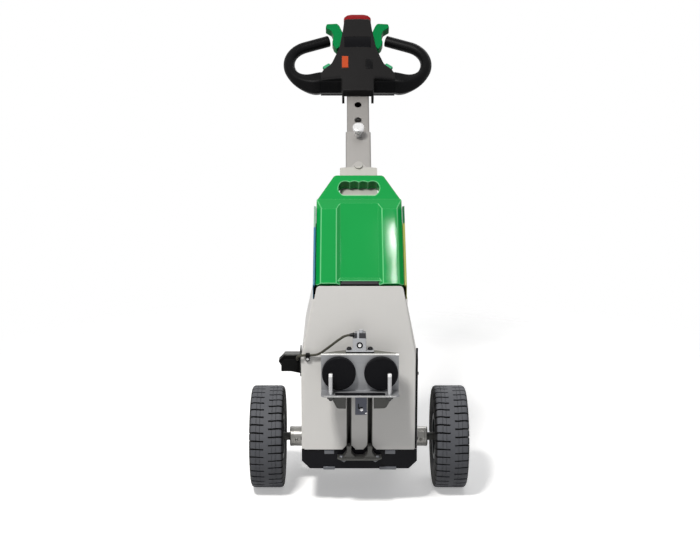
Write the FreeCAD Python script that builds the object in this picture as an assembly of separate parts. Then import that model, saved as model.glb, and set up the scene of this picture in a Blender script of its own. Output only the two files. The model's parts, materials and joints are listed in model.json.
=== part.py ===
"""A pedestrian electric tow tractor: two driven wheels, a sheet-metal body with a lifting coupling
on its front, a battery pack lying back at an angle, and a telescopic tiller with a loop-grip head.

Lengths are in millimetres, +Z is up, +X is the right-hand side seen from the coupling, and the
coupling points along -Y. While the pieces are drawn, Y = 0 is at the drive axle. At the end all of
them shift along Y, so that the origin lies on the floor under the middle of the whole machine.
"""

import FreeCAD, Part
import math
import os

Vector = FreeCAD.Vector
Placement = FreeCAD.Placement
Rotation = FreeCAD.Rotation

# ---- fits ------------------------------------------------------------------------------------
clearance = 0.3                 # between seated pieces
seam = 0.5                      # between neighbouring sheets
running = 0.05                  # radial, shaft in bore
room = 10                       # how far a cutting tool reaches past what it cuts

# ---- wheels and axle -------------------------------------------------------------------------
tyre_diameter = 260
tyre_width = 85
wheel_gap = 13                  # between the collar's end and the tyre
rim_bore_diameter = 100         # the bead seat of a 4 inch rim
rim_flange_diameter = 116
rim_wall = 4
hub_diameter = 48
hub_length = 60
stud_count = 5
stud_circle = 68
stud_diameter = 8
shaft_diameter = 20
shaft_nut_diameter = 30
shaft_nut_length = 4
collar_diameter = 50
collar_length = 34.5

# ---- body ------------------------------------------------------------------------------------
body_half = 141.5
body_bottom = 100
plate_front = -150              # the front plate's face, before the axle
plate_thickness = 4
plate_bottom = 151
plate_top = 562
plate_inset = 6.5               # how far the plate stops short of the body's side
plate_taper = 32                # how much the plate narrows on each side
plate_taper_height = 170
plate_corner = 9
sheet = 3
front_lip = 20                  # the side panel's flange behind the front plate
pan_sheet = 4
pan_chamfer = 20
rear_step = 112                 # the pan's deep part ends here
rear_corner_height = 400

# ---- battery pack ----------------------------------------------------------------------------
lean = 45                       # battery and tiller, from the vertical
case_half = 106.5
case_depth = 100
case_start = 8.5                # from the plate's top edge, up the lean
case_end = 245
hip_height = 261
case_top = 340
case_top_half = 62
handle_face = 12                # how far the handle end lies behind the columns' faces
handle_depth = 42
handle_half = 52
handle_low = 276
handle_high = 320
finger_count = 4
finger_rise = 4
column_inner = 57               # the raised columns' edges, across
column_outer = 93
column_top = 226
channel_depth = 7
channel_half = 47
latch_end = 17.5                # the channel's ledge starts here, above the latch
channel_low = 28                # and ends here
ledge_face = 3
shoulder_top = 264              # where the slope above the columns meets the handle end
bay_clearance = 5               # between the battery pack and the cheeks beside it
cheek_end = 237
cheek_drop = 32                 # the cheek's lower edge under the plate's top edge

# ---- coupling --------------------------------------------------------------------------------
rail_gap = 51                   # between the middles of the two slots
slot_width = 12
slot_top = 402
web_thickness = 5
coupling_width = 184
coupling_bottom = 323
coupling_top = 413
coupling_front = -210
coupling_sheet = 4
tray_reach = 42
pad_diameter = 80
pad_thickness = 14
pad_spacing = 100
pad_height = 367
pin_diameter = 10
pin_spacing = 138
pin_top = 375
pin_from_tray_edge = 9
gusset_drop = 46

# ---- tiller ----------------------------------------------------------------------------------
tube_width = 66
tube_depth = 46
tube_wall = 3
tube_behind_handle = 7.3        # the outer tube's front, behind the back of the pack's handle
outer_tube_start = 262
outer_tube_end = 509
inner_tube_start = 330
inner_tube_end = 690
index_height = 498
index_pitch = 53
index_hole_diameter = 19
plunger_nose_diameter = 15
telescope_clearance = 0.3
bracket_width = 96
bracket_sheet = 5
bracket_end = 389
bracket_peak = 404
head_start = 633                # the head's lower edge, up the lean
head_length = 261
head_front = -26                # the head's face, below the battery's face
head_crown = 11                 # how much the face falls away from its middle to the wings' ends
head_top_half = 36.5
block_half = 43
wing_reach = 101
grip_diameter = 31
grip_reach = 188.5
grip_depth = -60                # the bar's middle, below the battery's face

# ---- castors ---------------------------------------------------------------------------------
castor_diameter = 100
castor_width = 32
castor_trail = 36
castor_room = 12                # between the swinging castor and the pan's deep part
castor_axle_diameter = 10
kingpin_diameter = 12
fork_sheet = 4
crown_sheet = 6
crown_gap = 6                   # between the wheel's top and the fork's crown

# ---- worked out from the driving dimensions --------------------------------------------------
axle_height = tyre_diameter / 2
track = 2 * (body_half + collar_length + wheel_gap + tyre_width / 2)
plate_knee = plate_top - plate_taper_height
plate_half_low = body_half - plate_inset
plate_half_top = plate_half_low - plate_taper
plate_back = plate_front + plate_thickness
body_front = plate_back + clearance
body_knee = plate_knee - 8
body_neck = plate_top - 47
cheek_bottom = plate_top - cheek_drop
castor_swing = castor_trail + castor_diameter / 2
castor_pivot = rear_step + castor_swing + castor_room
castor_spacing = 2 * (castor_swing + 9)
body_back = castor_pivot + 40
crown_low = castor_diameter + crown_gap
deck_height = crown_low + crown_sheet + 20
deck_bottom = deck_height - pan_sheet
bay_half = case_half + bay_clearance + sheet       # outside of the narrow upper body
tray_depth = case_depth + clearance
tray_back = tray_depth + sheet
panel_depth = tray_back + clearance
cap_at = case_end + 8                              # the body's upper end, up the lean
cap_depth = case_depth + 85
tube_face = handle_depth + tube_behind_handle
head_end = head_start + head_length
pieces = {}

# ---- frames ----------------------------------------------------------------------------------
# upright_frame: x across, y up, z towards the front
upright_frame = Placement(Vector(0, 0, 0), Rotation(Vector(1, 0, 0), 90))
# front_frame: the same, from the front plate's face
front_frame = Placement(Vector(0, plate_front, 0), Rotation(Vector(1, 0, 0), 90))
# side_frame: x along the machine, y up, z across
side_frame = Placement(Vector(0, 0, 0), Rotation(Vector(1, 1, 1), 120))
# lean_frame: x across, y up the lean, z out of the battery's face, from the plate's top edge
lean_frame = Placement(Vector(0, plate_front, plate_top), Rotation(Vector(1, 0, 0), 90 - lean))


def lean_side(along, depth):
    """Y and Z of a point that far up the lean and that deep below the battery's face."""
    point = lean_frame.multVec(Vector(0, along, -depth))
    return point.y, point.z


# ---- shapes ----------------------------------------------------------------------------------
def placed(shape, frame):
    """The shape moved from a frame's own axes into the machine's."""
    moved = shape.copy()
    moved.Placement = frame.multiply(moved.Placement)
    return moved


def box(x0, x1, y0, y1, z0, z1):
    """A block between two corners."""
    return Part.makeBox(x1 - x0, y1 - y0, z1 - z0, Vector(x0, y0, z0))


def corner_cut(before, corner, after, radius):
    """The two tangent points and the middle of the arc that rounds a corner."""
    inward = (before - corner).normalize()
    outward = (after - corner).normalize()
    half_angle = inward.getAngle(outward) / 2
    reach = radius / math.tan(half_angle)
    middle = (inward + outward).normalize()
    centre = corner + middle * (radius / math.sin(half_angle))
    return corner + inward * reach, centre - middle * radius, corner + outward * reach


def outline(corners):
    """A closed wire through (x, y) or (x, y, radius) corners, in the XY plane."""
    points = [Vector(c[0], c[1], 0) for c in corners]
    radii = [c[2] if len(c) > 2 else 0 for c in corners]
    cuts = []
    for i, point in enumerate(points):
        if radii[i]:
            after = points[(i + 1) % len(points)]
            cuts.append(corner_cut(points[i - 1], point, after, radii[i]))
        else:
            cuts.append((point, None, point))
    edges = []
    for i, (start, middle, end) in enumerate(cuts):
        if middle is not None:
            edges.append(Part.Arc(start, middle, end).toShape())
        following = cuts[(i + 1) % len(cuts)][0]
        if end.distanceToPoint(following) > 1e-6:
            edges.append(Part.LineSegment(end, following).toShape())
    return Part.Wire(edges)


def symmetric(right):
    """Corners of the right-hand side, from bottom to top, with their mirror image on the left."""
    return right + [(-c[0],) + tuple(c[1:]) for c in right[::-1]]


def slab(corners, low, high, frame=None):
    """A flat outline made solid between two heights of its frame."""
    face = Part.Face(outline(corners))
    solid = face.extrude(Vector(0, 0, high - low))
    solid.translate(Vector(0, 0, low))
    return placed(solid, frame) if frame else solid


def rod(radius, start, end):
    """A round bar between two points."""
    along = end - start
    return Part.makeCylinder(radius, along.Length, start, along)


def ring(outer, inner, start, end):
    """A round tube between two points."""
    return rod(outer, start, end).cut(rod(inner, start, end))


def folded(points, thickness):
    """The corners of a strip of sheet that follows points and lies to the left of them."""
    inner = []
    for i, point in enumerate(points):
        before = Vector(*points[max(i - 1, 0)], 0)
        after = Vector(*points[min(i + 1, len(points) - 1)], 0)
        here = Vector(*point, 0)
        sides = []
        for start, end in ((before, here), (here, after)):
            run = end - start
            if run.Length:
                sides.append(Vector(-run.y, run.x, 0).normalize())
        bisector = (sides[0] + sides[-1]).normalize()
        offset = bisector * (thickness / bisector.dot(sides[0]))
        inner.append((here.x + offset.x, here.y + offset.y))
    return list(points) + inner[::-1]


def turned(profile, centre):
    """A profile of (x, radius) corners turned about the X axis through centre."""
    wire = outline(profile)
    solid = Part.Face(wire).revolve(Vector(0, 0, 0), Vector(1, 0, 0), 360)
    solid.translate(centre)
    return solid


def edges_at(shape, test):
    """The shape's edges whose middle passes a test."""
    return [e for e in shape.Edges if test(e.BoundBox.Center, e)]


def mirrored(shape):
    """The shape's mirror image on the other side of the machine."""
    return shape.mirror(Vector(0, 0, 0), Vector(1, 0, 0))


def both_sides(name, right):
    """Keep a right-hand piece and its left-hand mirror image."""
    pieces["right_" + name] = right
    pieces["left_" + name] = mirrored(right)


def pair(right):
    """One shape with the right-hand solid and its mirror image."""
    return Part.makeCompound([right, mirrored(right)])


def bent_tube(points, radius, share=0.45):
    """A round tube along straight runs joined by tangent arcs."""
    edges = []
    start = points[0]
    for i in range(1, len(points) - 1):
        before, corner, after = points[i - 1:i + 2]
        shorter = min((corner - before).Length, (after - corner).Length)
        turn = (corner - before).getAngle(after - corner)
        bend = share * shorter / math.tan(turn / 2)
        print("bend of radius", round(bend, 1))
        leave, middle, meet = corner_cut(before, corner, after, bend)
        edges.append(Part.LineSegment(start, leave).toShape())
        edges.append(Part.Arc(leave, middle, meet).toShape())
        start = meet
    edges.append(Part.LineSegment(start, points[-1]).toShape())
    path = Part.Wire(edges)
    circle = Part.makeCircle(radius, points[0], points[1] - points[0])
    tube = path.makePipeShell([Part.Wire(circle)], True, False)
    print("length", round(path.Length, 1), "volume ratio",
          round(tube.Volume / (path.Length * math.pi * radius ** 2), 4))
    return tube


# ---- wheels ----------------------------------------------------------------------------------
wheel_middle = Vector(track / 2, 0, axle_height)
bead_inset = 8                  # from the tyre's widest place to its bead
tread_edge = 9                  # from the tyre's widest place to the tread's edge
shoulder_radius = 11
sidewall_radius = 14
sidewall_low = 44               # the bulge's ends, below the tread
sidewall_high = 20


def tyre():
    """A block tyre's carcass, with rounded shoulders and a bulged sidewall down to the rim."""
    outer = tyre_diameter / 2
    bead = rim_bore_diameter / 2
    half = tyre_width / 2
    flange = rim_flange_diameter / 2 + 2
    right = [
        (half - bead_inset, bead), (half - bead_inset, flange, rim_wall),
        (half, outer - sidewall_low, sidewall_radius), (half, outer - sidewall_high, sidewall_radius),
        (half - tread_edge, outer, shoulder_radius),
    ]
    return turned(symmetric(right), wheel_middle)


def rim():
    """A disc wheel: barrel, two flanges, web and hub, with stud holes round the hub."""
    bead = rim_bore_diameter / 2 - clearance
    flange = rim_flange_diameter / 2
    half = tyre_width / 2 - bead_inset + clearance
    outer = half + rim_wall
    hub = hub_diameter / 2
    bore = shaft_diameter / 2 + running
    profile = [
        (-outer, flange, 1), (-outer, bead - rim_wall), (-rim_wall, bead - rim_wall, 3),
        (-rim_wall, hub, 3), (-hub_length / 2, hub, 2), (-hub_length / 2, bore),
        (hub_length / 2, bore), (hub_length / 2, hub, 2), (rim_wall, hub, 3),
        (rim_wall, bead - rim_wall, 3), (outer, bead - rim_wall), (outer, flange, 1),
        (half, flange), (half, bead), (-half, bead), (-half, flange),
    ]
    wheel = turned(profile, wheel_middle)
    through = Vector(rim_wall + 1, 0, 0)
    for k in range(stud_count):
        angle = math.radians(90 + 360 * k / stud_count)
        at = wheel_middle + Vector(0, math.cos(angle), math.sin(angle)) * (stud_circle / 2)
        wheel = wheel.cut(rod(stud_diameter / 2, at - through, at + through))
    return wheel


both_sides("tyre", tyre())
both_sides("rim", rim())

# ---- drive unit, shafts and collars ----------------------------------------------------------
drive_half = 95
drive_reach = 70
drive_top = 230
drive_corner = 12
pan_floor = body_bottom + pan_sheet
nut_start = track / 2 + hub_length / 2 + clearance
shaft_end = nut_start + shaft_nut_length
collar_end = body_half + collar_length
axle_hole = shaft_diameter / 2 + 2


def on_axle(x):
    """A point on the drive axle."""
    return Vector(x, 0, axle_height)


def drive_unit():
    """The motors and gearbox as one block on the pan's floor, round the axle."""
    block = box(-drive_half, drive_half, -drive_reach, drive_reach, pan_floor + clearance, drive_top)
    upright = edges_at(block, lambda c, e: e.Length > drive_top - pan_floor - 1
                       and abs(e.tangentAt(e.FirstParameter).z) > 0.9)
    return block.makeFillet(drive_corner, upright)


def half_shaft():
    """The wheel's shaft, from the gearbox to the nut outside the hub."""
    shaft = rod(shaft_diameter / 2, on_axle(drive_half + clearance), on_axle(shaft_end))
    nut = rod(shaft_nut_diameter / 2, on_axle(nut_start), on_axle(shaft_end))
    return shaft.fuse(nut).removeSplitter()


def axle_collar():
    """The bearing collar on the body's side."""
    bore = shaft_diameter / 2 + running
    collar = ring(collar_diameter / 2, bore, on_axle(body_half + clearance), on_axle(collar_end))
    outer_edge = edges_at(collar, lambda c, e: abs(c.x - collar_end) < 0.1
                          and e.Length > math.pi * (collar_diameter - 1))
    return collar.makeFillet(2, outer_edge)


pieces["drive_unit"] = drive_unit()
both_sides("half_shaft", half_shaft())
both_sides("axle_collar", axle_collar())

# ---- body shell ------------------------------------------------------------------------------
knee_slope = math.atan2(body_half - bay_half, body_neck - body_knee)
above_all = plate_top + 400


def body_section(inset):
    """Half of the body's cross-section from the floor to above its top."""
    step = inset * math.tan(knee_slope / 2)
    return [
        (body_half - inset, 0), (body_half - inset, body_knee - step),
        (bay_half - inset, body_neck - step), (bay_half - inset, above_all),
    ]


def across(corners, y0, y1):
    """An outline in x and z made solid between two places along the machine."""
    return slab(corners, -y1, -y0, upright_frame)


def side_outline():
    """The side panel as seen from the side."""
    drop = panel_depth - cheek_drop * math.sqrt(2)
    front_of_line = lean_side(drop, panel_depth)[0]
    return [
        (body_front, plate_bottom + seam), (rear_step + seam, plate_bottom + seam),
        (rear_step + seam, deck_height + seam), (body_back, deck_height + seam),
        (body_back, rear_corner_height), lean_side(cap_at, cap_depth),
        lean_side(cap_at, panel_depth), (front_of_line, cheek_bottom - seam),
        (body_front, cheek_bottom - seam),
    ]


def side_panel():
    """One folded side panel, narrowing above the knee, with a front lip and the axle's hole."""
    band = body_section(0) + body_section(sheet)[::-1]
    lip = body_section(0) + body_section(front_lip)[::-1]
    panel = across(band, body_front, body_back + room).fuse(across(lip, body_front, body_front + sheet))
    panel = panel.common(slab(side_outline(), 0, body_half + room, side_frame))
    return panel.cut(rod(axle_hole, on_axle(0), on_axle(track / 2))).removeSplitter()


def slot_notch(side):
    """A slot of the front plate, open at the bottom with a flared mouth."""
    middle = side * rail_gap / 2
    half = slot_width / 2
    flare = 11
    return slab([
        (middle - half - flare, plate_bottom - 1), (middle + half + flare, plate_bottom - 1),
        (middle + half, plate_bottom + flare, 3), (middle + half, slot_top, 2),
        (middle - half, slot_top, 2), (middle - half, plate_bottom + flare, 3),
    ], -plate_thickness - 1, 1, front_frame)


def front_plate():
    """The flat front plate: narrowing above the knee, rounded on top, with two long slots."""
    right = [
        (plate_half_low, plate_bottom, 2), (plate_half_low, plate_knee, 40),
        (plate_half_top, plate_top, plate_corner),
    ]
    plate = slab(symmetric(right), -plate_thickness, 0, front_frame)
    for side in (-1, 1):
        plate = plate.cut(slot_notch(side))
    return plate


def pan_section(inset, top):
    """The pan's cross-section: a trough with chamfered lower corners."""
    turn = inset * math.tan(math.pi / 8)
    return symmetric([
        (body_half - pan_chamfer - turn, body_bottom + inset),
        (body_half - inset, body_bottom + pan_chamfer + turn), (body_half - inset, top),
    ])


def base_pan():
    """The black pan under the body, and the raised deck behind it that carries the castors."""
    pan = across(pan_section(0, plate_bottom), body_front, rear_step)
    inside = across(pan_section(pan_sheet, plate_bottom + 1), body_front + pan_sheet, rear_step - pan_sheet)
    inner = body_half - sheet - seam
    deck = box(-inner, inner, rear_step - pan_sheet, body_back, deck_bottom, deck_height)
    pan = pan.cut(inside).fuse(deck)
    for side in (-1, 1):
        start = on_axle(side * (body_half - room))
        pan = pan.cut(rod(axle_hole, start, on_axle(side * (body_half + room))))
    return pan.removeSplitter()


def rear_cover():
    """The folded cover that closes the body's back, from the tray's upper end to the deck."""
    path = [
        lean_side(cap_at, panel_depth), lean_side(cap_at, cap_depth),
        (body_back, rear_corner_height), (body_back, deck_height + clearance),
    ]
    fold = slab(folded(path[::-1], sheet), -body_half, body_half, side_frame)
    inside = body_section(sheet + clearance)
    return fold.common(across(symmetric(inside), body_front, body_back + room))


def battery_tray():
    """The slanted tray under the battery pack, with a stop flange at its lower end."""
    half = bay_half - sheet - clearance
    stop = case_start - sheet - clearance
    top = cap_at - sheet - clearance
    tray = box(-half, half, stop, top, -tray_back, -tray_depth)
    flange = box(-half, half, stop, stop + sheet, -tray_back, -handle_depth)
    return placed(tray.fuse(flange).removeSplitter(), lean_frame)


def cheek():
    """A coloured side cover beside the battery pack."""
    start = -2 * case_depth
    side = box(bay_half - sheet, bay_half, start, cheek_end, -tray_back, -2)
    top = edges_at(side, lambda c, e: c.y > cheek_end - 1 and c.z > -3)
    side = placed(side.makeFillet(1, top), lean_frame)
    return side.common(box(0, track, body_front, plate_top, cheek_bottom, above_all))


pieces["front_plate"] = front_plate()
both_sides("side_panel", side_panel())
pieces["base_pan"] = base_pan()
pieces["rear_cover"] = rear_cover()
pieces["battery_tray"] = battery_tray()
both_sides("cheek", cheek())

# ---- lift rails and foot ---------------------------------------------------------------------
foot_top = 137
foot_plate_sheet = 4
foot_reach = 28                 # in front of the plate
foot_half = 54
foot_corner = 11
rail_wall = 3
rail_room = 8                   # inside the channel, across
rail_reach = 52                 # behind the plate
rail_over_slot = 6
rail_back = plate_front + rail_reach + clearance
gusset_flare = 16
gusset_neck = 5
gusset_height = 30


def rail(side):
    """A channel behind a slot, open towards the front."""
    middle = side * rail_gap / 2
    inner = rail_room / 2
    outer = inner + rail_wall
    top = slot_top + rail_over_slot
    channel = box(middle - outer, middle + outer, body_front, rail_back, plate_bottom + seam, top)
    return channel.cut(box(middle - inner, middle + inner, body_front - 1, rail_back - rail_wall,
                           plate_bottom, top + 1))


def foot_gusset(side):
    """A flared gusset that stands on the foot plate under a slot."""
    middle = side * rail_gap / 2
    bend = foot_top + gusset_height * 0.43
    return slab([
        (middle - gusset_flare, foot_top), (middle + gusset_flare, foot_top),
        (middle + gusset_neck, bend, 12), (middle + gusset_neck, foot_top + gusset_height),
        (middle - gusset_neck, foot_top + gusset_height), (middle - gusset_neck, bend, 12),
    ], plate_front - body_front, foot_reach - 6, front_frame)


def lift_rails():
    """Two channels behind the slots, standing on a foot plate that carries flared gussets."""
    front = plate_front - foot_reach
    whole = slab(symmetric([
        (foot_half - foot_corner, front), (foot_half, front + foot_corner), (foot_half, body_front),
    ]), foot_top - foot_plate_sheet, foot_top)
    for side in (-1, 1):
        whole = whole.fuse([rail(side), foot_gusset(side)])
    return whole.removeSplitter()


pieces["lift_rails"] = lift_rails()

# ---- lifting coupling ------------------------------------------------------------------------
web_back = rail_back - rail_wall - 4
web_corner = 6
face_back = coupling_front + coupling_sheet
flange_depth = 28
flange_back_half = 33
tray_front = coupling_front - tray_reach
tray_corner = 8
pin_place = tray_front + pin_from_tray_edge
pin_foot = pin_diameter / 2 - 1
pin_thread = 4                  # below the nut
nut_height = 6
nut_radius = 8.5
web_low = coupling_bottom + 10
web_high = slot_top - 6


def coupling_webs():
    """Two upright webs that pass through the slots and ride in the rails."""
    web = slab([
        (face_back, web_low), (web_back, web_low, web_corner), (web_back, web_high, web_corner),
        (face_back, web_high),
    ], (rail_gap - web_thickness) / 2, (rail_gap + web_thickness) / 2, side_frame)
    return pair(web)


def coupling_face():
    """The folded face: upright plate, narrowing top flange and forward tray."""
    half = coupling_width / 2
    upright = box(-half, half, coupling_front, face_back, coupling_bottom, coupling_top)
    flange = slab(symmetric([
        (half, coupling_front), (half, face_back + 2), (flange_back_half, face_back + flange_depth),
    ]), coupling_top - coupling_sheet, coupling_top)
    tray = slab(symmetric([
        (half - tray_corner, tray_front), (half, tray_front + tray_corner), (half, face_back),
    ]), coupling_bottom - coupling_sheet, coupling_bottom)
    face = upright.fuse([flange, tray]).removeSplitter()
    bend = edges_at(face, lambda c, e: abs(c.y - coupling_front) < 0.1 and abs(c.z - coupling_top) < 0.1)
    face = face.makeFillet(coupling_sheet - 1, bend)
    for side in (-1, 1):
        at = Vector(side * pin_spacing / 2, pin_place, coupling_bottom)
        face = face.cut(rod(pin_foot + running, at - Vector(0, 0, room), at + Vector(0, 0, room)))
    return face


def coupling_pad():
    """A round rubber pad on the face."""
    at = Vector(pad_spacing / 2, coupling_front - clearance, pad_height)
    pad = rod(pad_diameter / 2, at, at - Vector(0, pad_thickness, 0))
    edge = edges_at(pad, lambda c, e: c.y < at.y - pad_thickness + 0.1)
    return pad.makeFillet(2, edge)


def coupling_pin():
    """An upright pin with a rounded top, and its threaded foot with the nut under the tray."""
    x = pin_spacing / 2
    low = coupling_bottom - coupling_sheet - clearance - nut_height

    def at(z):
        return Vector(x, pin_place, z)

    shank = rod(pin_diameter / 2, at(coupling_bottom + clearance), at(pin_top))
    top = edges_at(shank, lambda c, e: c.z > pin_top - 0.1)
    shank = shank.makeFillet(pin_diameter / 4, top)
    foot = rod(pin_foot, at(low - pin_thread), at(coupling_bottom + pin_foot))
    corners = []
    for k in range(6):
        angle = math.radians(60 * k)
        corners.append((x + nut_radius * math.cos(angle), pin_place + nut_radius * math.sin(angle)))
    return shank.fuse([foot, slab(corners, low, low + nut_height)]).removeSplitter()


def coupling_gusset():
    """The stiffener under the tray, notched in the middle for the slots."""
    top = coupling_bottom - coupling_sheet
    low = coupling_bottom - gusset_drop
    notch = rail_gap / 2 + 7.5
    right = [(notch, low), (62, low + 1, 10), (76, top - 15, 8), (76, top)]
    left = [(-76, top), (-55, low + 2, 6), (-50, low, 3), (-notch, low)]
    inner = [(-notch, top - 10, 2), (notch, top - 10, 2)]
    place = Placement(Vector(0, coupling_front, 0), Rotation(Vector(1, 0, 0), 90))
    return slab(left + inner + right, -coupling_sheet, 0, place)


sensor_low = coupling_top + clearance
sensor_y = face_back + 17
sensor_foot_half = 33
sensor_foot_sheet = 3
sensor_shelf = sensor_low + 34  # the switch body's top
sensor_head_height = 13
stem_at = 3                     # across
stem_height = 19
stem_radius = 5.5
gland_radius = 5
gland_end = -17
gland_height = sensor_shelf + 6
switch_depth = 18
switch_rise = 14                # the lower switch, above the tray's top
switch_drop = 63                # and below it


def top_sensor():
    """The limit switch over the coupling: foot plate, body, cable gland, head and plunger."""
    foot_top = sensor_low + sensor_foot_sheet
    foot = box(-sensor_foot_half, sensor_foot_half, sensor_y - 14, sensor_y + 14, sensor_low, foot_top)
    body = box(-17, 15, sensor_y - 10, sensor_y + 10, foot_top, sensor_shelf)
    upright = edges_at(body, lambda c, e: abs(e.tangentAt(e.FirstParameter).z) > 0.9)
    body = body.makeFillet(2, upright)
    head = box(-12, 14, sensor_y - 9, sensor_y + 9, sensor_shelf, sensor_shelf + sensor_head_height)
    gland = rod(gland_radius, Vector(gland_end, sensor_y, gland_height), Vector(0, sensor_y, gland_height))
    stem_foot = Vector(stem_at, sensor_y, sensor_shelf)
    stem = rod(stem_radius, stem_foot, stem_foot + Vector(0, 0, stem_height))
    return foot.fuse([body, head, gland, stem]).removeSplitter()


def lower_switch():
    """The small latch switch that hangs below the coupling, between the slots."""
    back = face_back + clearance
    return box(-11, 17, back, back + switch_depth,
               coupling_bottom - switch_drop, coupling_bottom + switch_rise)


pieces["coupling_webs"] = coupling_webs()
pieces["coupling_face"] = coupling_face()
pieces["coupling_pads"] = pair(coupling_pad())
pieces["coupling_pins"] = pair(coupling_pin())
pieces["coupling_gusset"] = coupling_gusset()
pieces["top_sensor"] = top_sensor()
pieces["lower_switch"] = lower_switch()

# ---- charging socket, clip and sensor cable --------------------------------------------------
socket_low = 336
socket_high = 381
socket_front = -118
socket_depth = 26
socket_reach = 56.2             # out from the body's side
socket_slope = 14               # how far the housing's narrow end runs back
bracket_margin = 6              # round the socket, on the body's side
arm_above_leg = 17
cable_diameter = 6
clip_half = 5
clip_inset = 10                 # from the front plate's edge
clip_wall = 3
clip_tab = 17
panel_face = -body_half - clearance
socket_far = panel_face - socket_reach
leg_face = panel_face - sheet
clip_at = Vector(-plate_half_low + clip_inset, plate_front - 6.5, 393)
cable_entry = 26                # from the clip's middle out to the socket's cable entry


def socket_bracket():
    """The angle bracket that holds the socket: a leg on the body's side and an arm over the socket."""
    back = socket_front + socket_depth
    low = socket_high + clearance
    leg = box(leg_face, panel_face, socket_front - bracket_margin, back + bracket_margin,
              socket_low - bracket_margin, low + arm_above_leg)
    arm_end = socket_far + socket_slope
    arm = box(arm_end, leg_face, socket_front, back, low, low + sheet)
    tip = edges_at(arm, lambda c, e: c.x < arm_end + 1 and abs(e.tangentAt(e.FirstParameter).z) > 0.9)
    return leg.fuse(arm.makeFillet(bracket_margin, tip)).removeSplitter()


def charging_socket():
    """The charging socket: a tapered housing with a rib round its closed lid."""
    start = leg_face - clearance
    place = Placement(Vector(0, socket_front + socket_depth, 0), Rotation(Vector(1, 0, 0), 90))
    corners = [
        (start, socket_low), (start, socket_high), (socket_far + socket_slope, socket_high, 4),
        (socket_far, socket_high - socket_slope, 4), (socket_far + socket_slope, socket_low + 8, 6),
    ]
    housing = slab(corners, 0, socket_depth, place)
    front = edges_at(housing, lambda c, e: abs(c.y - socket_front) < 0.1 and c.x < start - 1)
    return housing.makeFillet(2, front)


def cable_clip():
    """The rubber-lined clip that holds the cable at the plate's edge, with a pointed tab."""
    reach = Vector(clip_half, 0, 0)
    bore = cable_diameter / 2 + running
    band = ring(bore + clip_wall, bore, clip_at - reach, clip_at + reach)
    low = clip_at.z - clip_tab
    tab = slab([
        (clip_at.x - clip_half, clip_at.z - clip_wall), (clip_at.x - clip_half, low + clip_half - 1),
        (clip_at.x, low, 2),
        (clip_at.x + clip_half, low + clip_half - 1), (clip_at.x + clip_half, clip_at.z - clip_wall),
    ], clearance, clip_wall + 1, front_frame)
    tab = tab.cut(rod(bore + 1, clip_at - reach * 2, clip_at + reach * 2))
    return band.fuse(tab).removeSplitter()


cable_end = Vector(clip_at.x - cable_entry, socket_front - clearance, socket_high - 8)
cable_route = [
    Vector(gland_end - clearance, sensor_y, gland_height), Vector(-33, sensor_y, gland_height),
    Vector(-52, sensor_y + 3, gland_height - 14), Vector(-73, sensor_y + 12, gland_height - 33),
    clip_at + Vector(30, -4.5, 6), clip_at + Vector(16, 0, 0),
    clip_at - Vector(cable_entry, 0, 0), cable_end - Vector(0, 18, 0), cable_end,
]


def sensor_cable():
    """The switch's cable, from its gland through the clip and back to the socket's face."""
    return bent_tube(cable_route, cable_diameter / 2)


pieces["socket_bracket"] = socket_bracket()
pieces["charging_socket"] = charging_socket()
pieces["cable_clip"] = cable_clip()
pieces["sensor_cable"] = sensor_cable()

# ---- battery pack ----------------------------------------------------------------------------
case_corner = 8
case_edge = 4                   # the handle end's rounded edges
opening_corner = 12


def case_outline():
    """The pack's outline: straight sides, then hips that run in to the handle."""
    return symmetric([
        (case_half, case_start, case_corner), (case_half, hip_height, 12),
        (case_top_half, case_top, 12),
    ])


def handle_opening(low, high):
    """The finger opening: straight below, with a scallop above for each finger."""
    left = -handle_half + opening_corner / 2
    width = 2 * abs(left) / finger_count
    base = handle_high - finger_rise
    points = [Vector(left + width * k, base, 0) for k in range(finger_count + 1)]
    edges = []
    for start, end in zip(points, points[1:]):
        edges.append(Part.Arc(start, (start + end) * 0.5 + Vector(0, finger_rise, 0), end).toShape())
    low_right = Vector(handle_half - opening_corner, handle_low, 0)
    low_left = Vector(-handle_half + opening_corner, handle_low, 0)
    side = (base + handle_low) / 2
    edges.append(Part.Arc(points[-1], Vector(handle_half, side, 0), low_right).toShape())
    edges.append(Part.LineSegment(low_right, low_left).toShape())
    edges.append(Part.Arc(low_left, Vector(-handle_half, side, 0), points[0]).toShape())
    solid = Part.Face(Part.Wire(edges)).extrude(Vector(0, 0, high - low))
    solid.translate(Vector(0, 0, low))
    return solid


def up_the_lean(corners, start, end):
    """An outline in x and z of the lean frame, made solid between two places up the lean."""
    return slab(corners, -end, -start, upright_frame)


def column_block():
    """The two raised columns and the channel between them, ended by a slope at the shoulder."""
    section = symmetric([
        (channel_half, -channel_depth, 3), (column_inner, 0, 4), (column_outer, 0, 5),
        (case_half, -handle_face, 0), (case_half, -handle_face - room, 0),
    ])
    block = up_the_lean(section, case_start, shoulder_top)
    above = slab([
        (column_top, 0), (shoulder_top, -handle_face), (shoulder_top + room, -handle_face),
        (shoulder_top + room, room), (column_top, room),
    ], -case_half - room, case_half + room, side_frame)
    return block.cut(above)


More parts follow.
